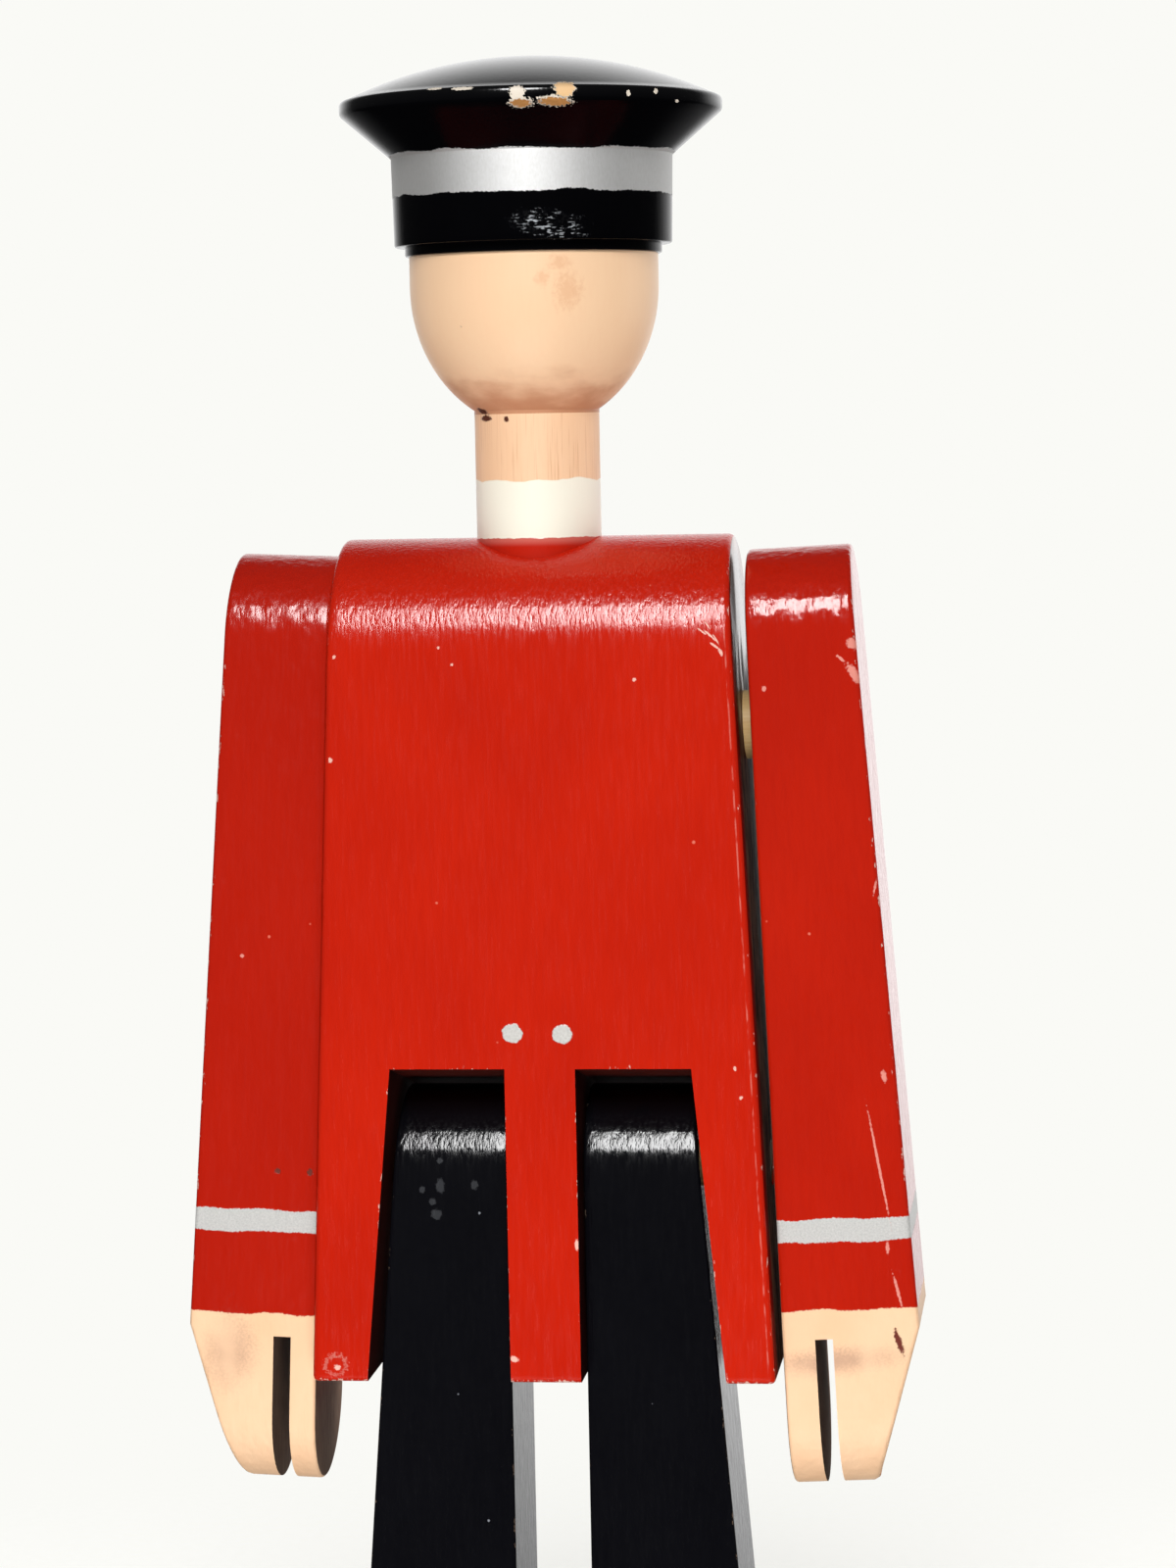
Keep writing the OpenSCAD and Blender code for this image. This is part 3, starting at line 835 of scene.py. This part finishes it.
coat_red, tree = new_material("red_gloss_enamel_on_beech")
place = millimetres(tree)
ragged = raggedness(tree, place)
surface = enamel(tree, place, ("#D3250C", "#B81A08"), 0.2, 0.022, 0.015)
BACK = -COAT_HALF_T
marks = [
    ((-34.7, BACK, 222.9), (0.35, 2, 0.5), 0),
    ((-33.6, BACK, 240.7), (0.3, 2, 0.3), 0),
    ((-4.9, BACK, 118.3), (0.8, 2, 0.45), 15),
    ((6.5, BACK, 138.4), (0.35, 2, 0.9), 0),
    ((30.0, -18.6, 244.3), (0.13, 2, 1.0), -52),
    ((30.9, -18.5, 245.4), (0.12, 2, 0.8), -38),
    ((31.4, -18.7, 243.6), (0.16, 2, 1.3), -48),
    ((32.4, -18.7, 242.9), (0.14, 2, 0.9), -30),
    ((32.2, -18.9, 241.8), (0.18, 2, 1.0), -55),
    ((33.2, -18.9, 240.7), (0.28, 2, 0.7), -20),
    ((-15.4, -18.9, 242.1), (0.25, 2, 0.25), 0),
    ((-13.1, BACK, 239.2), (0.25, 2, 0.25), 0),
    ((34.4, BACK, 169.1), (0.25, 2, 0.4), 0),
    ((-36.1, BACK, 116.6), (0.55, 2, 0.45), 0),
    ((18.3, BACK, 236.2), (0.3, 2, 0.3), 0),
    ((35.4, BACK, 164.1), (0.3, 2, 0.3), 0),
]
pale_spots = ovals(tree, place, ragged, marks)
surface = lay(tree, surface, pale_spots, "#F0B9A8", 0.45, thick=-0.03)
# A dent low on the left tail, with a painted highlight on its rim
dent = ovals(tree, place, ragged, [((-36.4, BACK, 117.1), (2.0, 2, 1.9), 0)], 0.15)
dent_inside = ovals(tree, place, ragged, [((-36.4, BACK, 117.0), (1.6, 2, 1.5), 0)], 0.2)
dent_rim_highlight = add(tree, "Math", MINUS, (dent, dent_inside))
dent_rim_highlight = add(tree, "Math", TIMES, (dent_rim_highlight, 0.35))
surface = lay(tree, surface, dent_rim_highlight, "#F0B9A8", 0.35, thick=0.06)
# The pale line where the rounded right edge begins on the back: partly worn paint, partly a painted
# highlight
from_side = add(tree, "SeparateXYZ", {}, (millimetres(tree, arm=True),), out="X")
worn_and_highlight_line = band(tree, from_side, -1.15, 0.13, 0.07)
depth = add(tree, "SeparateXYZ", {}, (place,), out="Y")
on_back = add(tree, "MapRange", SOFT, (depth, -18.5, -18.9))
broken = noise(tree, place, (1, 1, 3.5), 3.0, step=(0.42, 0.62, 0, 0.5))
for share in (on_back, broken):
    worn_and_highlight_line = add(tree, "Math", TIMES, (worn_and_highlight_line, share))
surface = lay(tree, surface, worn_and_highlight_line, "#E58B7C", 0.4, thick=0.02)
dust = specks(tree, place, 9.0, 0.28, 0.35)
surface = lay(tree, surface, dust, "#E0705A", 0.4, thick=0.01)
marks = [((-4.0, BACK, 175.3), (1.75, 3, 1.65), 0), ((4.7, BACK, 175.2), (1.7, 3, 1.7), 0)]
marks += [((0.4, COAT_HALF_T, 176 + 17 * count), (2.1, 3, 2.1), 0) for count in range(4)]
buttons = ovals(tree, place, raggedness(tree, place, 1.2, 0.12), marks, soft=0.08)
brush_marks = noise(tree, place, (0.5, 0.5, 0.5))
button_paint = add(tree, "Mix", COLOURS, {0: brush_marks, 6: SILVER, 7: "#C2BFB7"}, out=2)
surface = lay(tree, surface, buttons, button_paint, 0.42, 0.2, thick=0.10)
close(coat_red, surface, [coat_block])
print("red enamel has", len(tree.nodes), "nodes")

# %% Stain the walls of the leg slots
def bare_wood(tree, place, cell, tones, rough, depth, harsh=0.65):
    """Wood without paint: fibres as long as cell, in two tones, and a depth between them."""
    fibres = noise(tree, place, cell, 4.0, harsh)
    tone = add(tree, "Mix", COLOURS, {0: fibres, 6: tones[0], 7: tones[1]}, out=2)
    height = add(tree, "MapRange", SOFT, (fibres, 0.2, 0.8, 0, depth))
    return {"colour": tone, "rough": rough, "metal": 0.0, "height": height}


slot_stain, tree = new_material("dark_stained_saw_cut")
place = millimetres(tree)
surface = bare_wood(tree, place, (0.5, 0.5, 5.0), ("#2A0D0A", "#4A1712"), 0.8, 0.06)
smear = noise(tree, place, (4, 4, 9), step=(0.55, 0.75, 0, 0.6))
surface = lay(tree, surface, smear, "#12090A", 0.7)
close(slot_stain, surface, shine=0.05)


def paint_faces(piece, material, test):
    """Gives a second material to the faces whose middle, in millimetres, and normal pass a test."""
    piece.data.materials.append(material)
    found = [face for face in piece.data.polygons if test(face.center / MM, face.normal)]
    for face in found:
        face.material_index = len(piece.data.materials) - 1
    print(piece.name, "has", len(found), "faces of", material.name)


def coat_stained(middle, facing):
    """True on the walls of the leg slots."""
    if abs(facing.y) > 0.3 or abs(middle.y) > COAT_HALF_T or middle.z < HEM_Z + 0.2:
        return False
    return abs(middle.x) < SIDE_X and middle.z < SLOT_TOP_Z + 0.2


paint_faces(coat_block, slot_stain, coat_stained)

# %% Darken the coat's sides where the arms hang: worn wood and painted shade
worn_and_shaded_side, tree = new_material("worn_and_shaded_coat_side")
place = millimetres(tree)
patches = noise(tree, place, (4.0, 4.0, 14.0), 4.0, 0.65)
fibres = noise(tree, place, (0.5, 0.5, 7.0), 4.0, 0.65, step=(0.3, 0.7))
bare_tone = add(tree, "Mix", COLOURS, {0: fibres, 6: "#B5876C", 7: "#8A5A45"}, out=2)
worn_bare = add(tree, "MapRange", SOFT, (patches, 0.35, 0.65))
# Dark red-brown and bare wood: partly worn by the arm, partly painted shade in the gap beside it
worn_and_shaded_tone = add(tree, "Mix", COLOURS, {0: worn_bare, 6: "#4A1F16", 7: bare_tone}, out=2)
rise = add(tree, "SeparateXYZ", {}, (place,), out="Z")
from_middle = add(tree, "SeparateXYZ", {}, (place,), out="Y")
from_middle = add(tree, "Math", SIZE_OF, (from_middle,))
# Beyond the arm's reach the side is a darker red: partly soil, partly painted shade
beyond_arm = add(tree, "MapRange", SOFT, (from_middle, ARM_HALF_T - 0.5, ARM_HALF_T + 1.5))
worn_and_shaded_tone = add(tree, "Mix", COLOURS, {0: beyond_arm, 6: worn_and_shaded_tone, 7: "#7E1509"}, out=2)
level = add(tree, "Math", TIMES_PLUS, (patches, 40.0, rise))
still_glossy = add(tree, "MapRange", SOFT, (level, PEG_Z + 22, PEG_Z + 38, 0.012, 1.0))
still_smooth = add(tree, "MapRange", SOFT, (level, PEG_Z + 22, PEG_Z + 38, 0.5, 0.15))
surface = {"colour": worn_and_shaded_tone, "rough": still_smooth, "metal": 0.0, "height": 0.0}
close(worn_and_shaded_side, surface, shine=still_glossy)


def coat_side_under_arm(middle, facing):
    """True on the flat sides under the arms."""
    return abs(middle.x) > SIDE_X and abs(facing.x) > 0.95


paint_faces(coat_block, worn_and_shaded_side, coat_side_under_arm)

# %% Leave the saw cut of the hand and the arm's inner side in handled wood
handled_wood, tree = new_material("handled_saw_cut")
place = millimetres(tree)
surface = bare_wood(tree, place, (0.5, 0.5, 4.0), ("#54362C", "#A08874"), 0.7, 0.05)
close(handled_wood, surface, shine=0.05)

# %% Paint the arms, with a silver stripe and a flesh hand
def paint_arm(piece, side, gap, shade, rough, stripe, hand_line, pale, chips, dirt):
    """Red, a silver stripe, a hand, and marks. Heights and marks are given from the arm's peg."""
    material, tree = new_material(piece.name + "_enamel")
    place = millimetres(tree, side, arm=True)
    ragged = raggedness(tree, place)
    surface = enamel(tree, place, (shade, "#AE190A"), rough, 0.011, 0.05)
    level = unsteady_height(tree, place, ragged, 7, 0.3)
    surface = lay(tree, surface, specks(tree, place, 8.0, 0.25, 0.35), "#DE6A55", 0.4, thick=0.01)
    flakes = noise(tree, place, (0.35, 0.35, 0.35), 2.0, 0.7)
    silver_tone = add(tree, "Mix", COLOURS, {0: flakes, 6: SILVER, 7: "#B4B3AF"}, out=2)
    on_stripe = band(tree, level, stripe, 2.0, 0.1)
    surface = lay(tree, surface, on_stripe, silver_tone, 0.42, 0.2, thick=0.05)
    cloud = noise(tree, place, (9, 9, 12))
    flesh_tone = add(tree, "Mix", COLOURS, {0: cloud, 6: "#FFD7B0", 7: "#F8C79C"}, out=2)
    hand = add(tree, "MapRange", SOFT, (level, hand_line + 0.12, hand_line - 0.12))
    surface = lay(tree, surface, hand, flesh_tone, 0.42, thick=0.05)
    # Grime and marks
    surface = lay(tree, surface, ovals(tree, place, ragged, pale), "#E58E7F", 0.5, thick=-0.03)
    surface = lay(tree, surface, ovals(tree, place, ragged, chips), "#6E2A1E", 0.55, thick=-0.08)
    grime = ovals(tree, place, ragged, dirt, 0.9)
    patchy = add(tree, "MapRange", SOFT, (cloud, 0.3, 0.7, 0.1, 0.6))
    grime = add(tree, "Math", TIMES, (grime, patchy))
    surface = lay(tree, surface, grime, "#8C5F58", 0.5)
    close(material, surface, [piece])
    to_peg = Matrix.Rotation(SIDE_LEAN, 3, "Y")

    def handled(middle, facing):
        """True on the side that faces the coat and on the walls of the saw cut."""
        from_peg = to_peg @ (Vector((side * middle.x, 0, middle.z)) - Vector((PEG_X, 0, PEG_Z)))
        beside_cut = gap + THUMB_W - 0.1 < from_peg.x < gap + THUMB_W + CUT_W + 0.1
        in_cut = beside_cut and from_peg.z < TIP + CUT_L + 0.1 and abs(middle.y) < ARM_HALF_T - 0.1
        inner = from_peg.x < gap + 0.1 and side * facing.x < -0.7
        return abs(facing.y) < 0.3 and (in_cut or inner)

    paint_faces(piece, handled_wood, handled)


BACK = -ARM_HALF_T
paint_arm(
    right_arm_board,
    side=1,
    gap=RIGHT_GAP,
    shade="#C7220D",
    rough=0.13,
    stripe=-87.5,
    hand_line=-101.4,
    pale=[
        ((4.7, BACK, 6.9), (0.35, 2, 0.45), 0),
        ((20.3, BACK, 13.7), (1.1, 2, 0.8), 40),
        ((18.1, BACK, 11.3), (0.9, 2, 0.25), 40),
        ((20.2, BACK, 8.6), (0.7, 2, 2.0), -30),
        ((21.4, BACK, -61), (0.45, 2, 1.0), -12),
        ((21.7, BACK, -28.2), (0.2, 2, 1.3), 15),
        ((19.6, BACK, -76.5), (0.22, 2, 9.0), -8),
        ((20.3, BACK, -90.8), (0.3, 2, 1.1), 0),
        ((21.6, BACK, -98.4), (0.25, 2, 2.8), -12),
    ],
    chips=[((20.0, BACK, 27.5), (0.5, 4, 0.7), 0), ((21.3, BACK, -107.4), (0.5, 2, 2.3), -15)],
    dirt=[((10, BACK, -110.5), (9, 3, 1.8), -4)],
)
paint_arm(
    left_arm_board,
    side=-1,
    gap=LEFT_GAP,
    shade="#BC1F0C",
    rough=0.19,
    stripe=-86.0,
    hand_line=-102.5,
    pale=[((14.7, BACK, -39.2), (0.3, 2, 0.3), 0)],
    chips=[((7.7, BACK, -77), (0.5, 2, 0.5), 0), ((2.0, BACK, -77), (0.5, 2, 0.6), 0)],
    dirt=[((16, BACK, -110), (3.5, 3, 5), 0)],
)

# %% Paint the legs and boots black
leg_black, tree = new_material("black_gloss_enamel_on_beech")
place = millimetres(tree)
surface = enamel(tree, place, ("#050508", "#0D0D11"), 0.16, 0.014, 0.015, first_coat="#6E5A4A")
BACK = -LEG_HALF_T
marks = [
    ((-18.0, BACK, 147.8), (0.7, 2, 1.3), 0),
    ((-21.2, BACK, 147.1), (0.5, 2, 0.6), 0),
    ((-19.4, BACK, 145.0), (0.6, 2, 0.6), 0),
    ((-18.8, BACK, 142.8), (0.9, 2, 0.9), 0),
    ((-11.9, BACK, 148.0), (0.6, 2, 0.8), 0),
    ((-18.0, BACK, 152.2), (0.5, 2, 0.5), 0),
]
dull_spots = ovals(tree, place, raggedness(tree, place, 0.6, 0.3), marks)
dull_spots = add(tree, "Math", TIMES, (dull_spots, 0.22))
surface = lay(tree, surface, dull_spots, "#6A6C70", 0.5)
surface = lay(tree, surface, specks(tree, place, 6.0, 0.22, 0.4), "#7C7F86", 0.4, thick=0.02)
black_pieces = [left_leg_board, right_leg_board, left_boot_block, right_boot_block, visor_plate]
close(leg_black, surface, black_pieces)
print("black enamel has", len(tree.nodes), "nodes")

# %% Paint the cap black, with a silver band
SILVER_BAND_Z = 323.05

cap_paint, tree = new_material("black_and_silver_enamel_on_beech")
place = millimetres(tree)
ragged = raggedness(tree, place)
surface = enamel(tree, place, ("#020203", "#060608"), 0.15, 0.003, worn_edges=False)
level = unsteady_height(tree, place, ragged, 9, 0.4)
flakes = noise(tree, place, (0.35, 0.35, 0.9), 2.0, 0.7)
silver_tone = add(tree, "Mix", COLOURS, {0: flakes, 6: "#FFFFFF", 7: "#E8E7E4"}, out=2)
# Painted shade: the silver darkens towards the band's left and right sides, more on the left
across = add(tree, "SeparateXYZ", {}, (place,), out="X")
left_painted_shade = add(tree, "MapRange", SOFT, (across, -4, -17, 0, 0.5))
right_painted_shade = add(tree, "MapRange", SOFT, (across, 6, 18, 0, 0.35))
band_side_painted_shade = add(tree, "Math", PLUS, (left_painted_shade, right_painted_shade))
silver_tone = add(tree, "Mix", COLOURS, {0: band_side_painted_shade, 6: silver_tone, 7: "#6B6963"}, out=2)
on_band = band(tree, level, SILVER_BAND_Z, 3.575, 0.075)
surface = lay(tree, surface, on_band, silver_tone, 0.5, 0.5, thick=0.05)
marks = [((2.7, -33.1, 333.15), (1.65, 2.5, 0.65), 0), ((8.5, -32.2, 333.3), (2.7, 2.5, 0.7), 4)]
chips = ovals(tree, place, ragged, marks, soft=0.06)
fresh_chip = ovals(tree, place, ragged, [((9.9, -31.9, 335.6), (1.55, 2.5, 1.5), 0)], soft=0.06)
marks = [
    ((2.15, -32.8, 334.9), (1.3, 2.5, 1.15), 0),
    ((2.7, -33.1, 333.25), (2.1, 2.5, 0.95), 0),
    ((8.5, -32.2, 333.4), (3.1, 2.5, 0.95), 4),
    ((9.9, -31.9, 335.6), (1.8, 2.5, 1.7), 0),
    ((-12.3, -31.0, 336.2), (1.6, 1.5, 0.3), 0),
    ((-7.2, -32.4, 335.9), (1.8, 1.5, 0.3), 0),
    ((20.0, -26.6, 334.8), (0.3, 1.0, 0.5), 0),
    ((24.2, -22.9, 335.3), (0.3, 1.0, 0.5), 0),
    ((27.4, -18.9, 333.8), (0.3, 1.0, 0.3), 0),
]
rims = ovals(tree, place, ragged, marks, soft=0.08)
surface = lay(tree, surface, rims, "#E8DCCB", 0.5, thick=-0.06)
wood_grain = noise(tree, place, (0.5, 0.5, 4.0), 3.0, 0.6)
wood_tone = add(tree, "Mix", COLOURS, {0: wood_grain, 6: "#D49A5F", 7: "#A8743F"}, out=2)
surface = lay(tree, surface, chips, wood_tone, 0.6, thick=-0.06)
surface = lay(tree, surface, fresh_chip, "#EFC48F", 0.6, thick=-0.06)
scuffed = ovals(tree, place, ragged, [((6.5, -23.4, 313.5), (5.5, 3, 1.9), 8)], soft=0.4)
ridges = noise(tree, place, (0.3, 0.3, 1.3), 2.0, 0.6, step=(0.4, 0.6, 0, 0.1))
scuffs = add(tree, "Math", TIMES, (scuffed, ridges))
surface["height"] = add(tree, "Math", MINUS, (surface["height"], scuffs))
scratches = noise(tree, place, (1.3, 1.3, 0.35), 2.0, 0.6, step=(0.56, 0.64, 0, 0.75))
scratches = add(tree, "Math", TIMES, (scratches, scuffed))
surface = lay(tree, surface, scratches, "#C6CACF", 0.4)
# The dome is glossy and the cone under it is dull
rise = add(tree, "SeparateXYZ", {}, (place,), out="Z")
shine = add(tree, "MapRange", SOFT, (rise, RIM_Z, DOME_Z, 0.07, 0.72))
close(cap_paint, surface, [cap_turning], shine)

# %% Paint the head and the neck
head_paint, tree = new_material("satin_flesh_enamel_on_beech")
place = millimetres(tree)
ragged = raggedness(tree, place)
surface = enamel(tree, place, ("#FFD9B1", "#FCCFA6"), 0.38, 0.003, worn_edges=False)
rise = add(tree, "SeparateXYZ", {}, (place,), out="Z")
marks = [
    ((8.3, -20, 302.5), (1.9, 3, 2.6), 0),
    ((4.2, -21.3, 304.6), (1.0, 2, 1.2), 30),
    ((7.0, -20.6, 307.2), (1.6, 2, 1.0), 0),
]
stains = ovals(tree, place, raggedness(tree, place, 0.8, 0.6), marks, 0.7)
stains = add(tree, "Math", TIMES, (stains, 0.3))
surface = lay(tree, surface, stains, "#D9905C", 0.42)
# Painted shade: the head turns darker and browner towards its bottom, above the neck
low_painted_shade = noise(tree, place, (7, 7, 3), 3.0)
low_painted_shade = add(tree, "Math", TIMES_PLUS, (low_painted_shade, -9.0, rise))
low_painted_shade = add(tree, "MapRange", SOFT, (low_painted_shade, HEAD_Z + 4.0, HEAD_Z - 4.5, 0, 0.75))
surface = lay(tree, surface, low_painted_shade, "#B9714A", 0.42)
marks = [
    ((-10.4, -19.1, 296.9), (0.3, 1, 0.3), 0),
    ((14.7, -16.0, 289.9), (0.3, 1, 0.3), 0),
    ((-8.6, -6.8, 282.4), (1.1, 2.5, 0.4), 20),
    ((-7.6, -8.0, 281.4), (0.9, 1.5, 0.5), 0),
    ((-4.1, -10.2, 281.2), (0.4, 1.0, 0.6), 0),
]
dark_dots = ovals(tree, place, ragged, marks)
surface = lay(tree, surface, dark_dots, "#5A2F22", 0.3, thick=0.2)
# The face is painted on the front, which the photograph doesn't show: a plain calm one
even = raggedness(tree, place, 0.8, 0.06)
face_marks = [
    ("#F29483", 0.5, 0.75, [((side * 12.0, 18.0, 293.5), (3.6, 5, 3.0), 0) for side in (-1, 1)]),
    ("#E2A57C", 0.8, 0.25, [((0, 21.7, 294.6), (1.0, 3, 1.9), 0)]),
    ("#B8392B", 1.0, 0.08, [((0, 17.4, 289.2), (3.1, 4, 0.5), 0)]),
    ("#4A2C1C", 1.0, 0.08, [((side * 7.4, 20.4, 304.2), (2.7, 4, 0.5), 0) for side in (-1, 1)]),
    ("#17120F", 1.0, 0.08, [((side * 7.3, 20.4, 299.6), (1.45, 4, 1.75), 0) for side in (-1, 1)]),
    ("#FFFFFF", 1.0, 0.1, [((side * 7.3 - 0.5, 20.4, 300.3), (0.4, 4, 0.4), 0) for side in (-1, 1)]),
]
for code, strength, soft, shapes in face_marks:
    mark = ovals(tree, place, even, shapes, soft)
    mark = add(tree, "Math", TIMES, (mark, strength))
    surface = lay(tree, surface, mark, code, 0.3, thick=0.03)
close(head_paint, surface, [head_ball])

COLLAR_Z = 270.43
neck_paint, tree = new_material("flesh_and_cream_enamel_on_birch")
place = millimetres(tree)
surface = enamel(tree, place, ("#FFD6B0", "#F5C59B"), 0.45, 0.006, worn_edges=False)
lines = noise(tree, place, (0.35, 0.35, 14), 3.0, 0.6, step=(0.52, 0.75, 0, 0.45))
surface = lay(tree, surface, lines, "#C9895A", 0.5, thick=-0.01)
level = unsteady_height(tree, place, 0.0, 5, 0.45)
collar = add(tree, "MapRange", SOFT, (level, COLLAR_Z + 0.12, COLLAR_Z - 0.13))
surface = lay(tree, surface, collar, "#FBF6E4", 0.4, thick=0.05)
# The red of the coat has run onto the foot of the neck
level = unsteady_height(tree, place, 0.0, 2.5, 0.15)
foot = add(tree, "MapRange", SOFT, (level, CROWN_Z + 0.1, CROWN_Z - 0.1))
surface = lay(tree, surface, foot, "#C2200B", 0.25, thick=0.05)
# Painted reflection: the foot turns pale pink towards the collar, so its edge with the crown stays
# soft
rise = add(tree, "SeparateXYZ", {}, (place,), out="Z")
painted_reflection = add(tree, "MapRange", SOFT, (rise, CROWN_Z - 1.6, CROWN_Z - 0.2, 0, 0.35))
painted_reflection = add(tree, "Math", TIMES, (painted_reflection, foot))
surface = lay(tree, surface, painted_reflection, "#E8A092", 0.2)
marks = [((-7.9, -7.5, 281.2), (1.1, 2, 0.5), 0), ((-4.0, -10.2, 280.9), (0.4, 1, 0.5), 0)]
glue = ovals(tree, place, raggedness(tree, place), marks)
surface = lay(tree, surface, glue, "#5A2F22", 0.3, thick=0.15)
close(neck_paint, surface, [neck_rod])

# %% Give the dowels raw wood
raw_wood, tree = new_material("raw_beech_dowel")
place = millimetres(tree)
surface = bare_wood(tree, place, (6.0, 0.4, 0.4), ("#FFE2A6", "#D9A55C"), 0.45, 0.03, 0.6)
names = ["hip_dowel", "cap_dowel", "left_arm_peg", "right_arm_peg"]
names += ["left_boot_dowel", "right_boot_dowel"]
dowels = [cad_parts[name] for name in names]
for dowel in dowels:
    dowel.data.materials.clear()
close(raw_wood, surface, dowels)

# %% [markdown]
# ## Floor and light
# The soldier stands on a plain pale floor. The light is soft and comes from above the camera, as its
# highlights show: on every half-round part they lie where a lamp about 35 degrees up would be
# mirrored. The far floor fades into the backdrop, so that no horizon shows. Reflections see a dark
# room behind the camera and bright walls to the sides and behind the soldier, which is what
# makes black gloss read as black and still gives it pale edges.

# %% Lay the floor
PALE = "#FAFAF6"
floor_shape = bmesh.new()
bmesh.ops.create_circle(floor_shape, cap_ends=True, radius=40.0, segments=96)
floor_mesh = bpy.data.meshes.new("floor")
floor_shape.to_mesh(floor_mesh)
floor_shape.free()
floor = bpy.data.objects.new("floor", floor_mesh)
bpy.context.scene.collection.objects.link(floor)
floor.visible_glossy = False
floor.visible_diffuse = False
floor.visible_shadow = False

felt, tree = new_material("white_felt")
metres = add(tree, "TexCoord", out="Object")
away = add(tree, "VectorMath", {"operation": "LENGTH"}, (metres,), out="Value")
fuzz = add(tree, "TexNoise", {}, {"Vector": metres, "Scale": 350.0, "Detail": 4.0})
felt_tone = add(tree, "Mix", COLOURS, {0: fuzz, 6: PALE, 7: "#E8E8E4"}, out=2)
near = add(tree, "BsdfDiffuse", {}, {"Color": felt_tone})
lift = add(tree, "Emission", {}, {"Color": felt_tone, "Strength": 0.34})
near = add(tree, "AddShader", {}, (near, lift))
far = add(tree, "Emission", {}, {"Color": PALE, "Strength": 1.0})
fade = add(tree, "MapRange", SOFT, (away, 0.12, 0.45))
shader = add(tree, "MixShader", {}, (fade, near, far))
add(tree, "OutputMaterial", {}, {"Surface": shader})
floor_mesh.materials.append(felt)

# %% Hang the lamp and light the room
def lamp(name, at, towards, size, power):
    """A square soft lamp that points at a place and isn't seen itself."""
    data = bpy.data.lights.new(name, "AREA")
    data.size = size
    data.energy = power
    light = bpy.data.objects.new(name, data)
    light.location = at
    light.rotation_euler = (Vector(towards) - Vector(at)).to_track_quat("-Z", "Y").to_euler()
    light.visible_camera = False
    bpy.context.scene.collection.objects.link(light)
    return light


lamp("key_lamp", (0.02, -0.91, 0.84), (0, 0, 0.22), 0.38, 9.6)
for name, at, power in (
    ("left_fill", (-0.55, 0.35, 0.30), 1.6),
    ("right_fill", (0.55, 0.35, 0.30), 2.8),
    ("low_fill", (0.0, -0.45, -0.25), 3.1),
):
    lamp(name, at, (0, 0, 0.2), 0.4, power).visible_glossy = False

world = bpy.data.worlds.new("studio")
bpy.context.scene.world = world
world.use_nodes = True
tree = world.node_tree
tree.nodes.clear()
direction = add(tree, "TexCoord", out="Generated")
backward = add(tree, "SeparateXYZ", {}, (direction,), out="Y")
upward = add(tree, "SeparateXYZ", {}, (direction,), out="Z")
wall = add(tree, "MapRange", SOFT, (backward, 0.60, 0.97, 0.05, 1.3))
lower = add(tree, "MapRange", SOFT, (upward, -0.34, -0.10, 0.2, 1.0))
room = add(tree, "Math", TIMES, (wall, lower))
lit = add(tree, "Background", {}, {"Color": "#FFFFFF", "Strength": room})
seen = add(tree, "Background", {}, {"Color": PALE, "Strength": 1.0})
by_camera = add(tree, "LightPath", out="Is Camera Ray")
shader = add(tree, "MixShader", {}, (by_camera, lit, seen))
add(tree, "OutputWorld", {}, {"Surface": shader})

bpy.context.scene.view_settings.view_transform = "Standard"
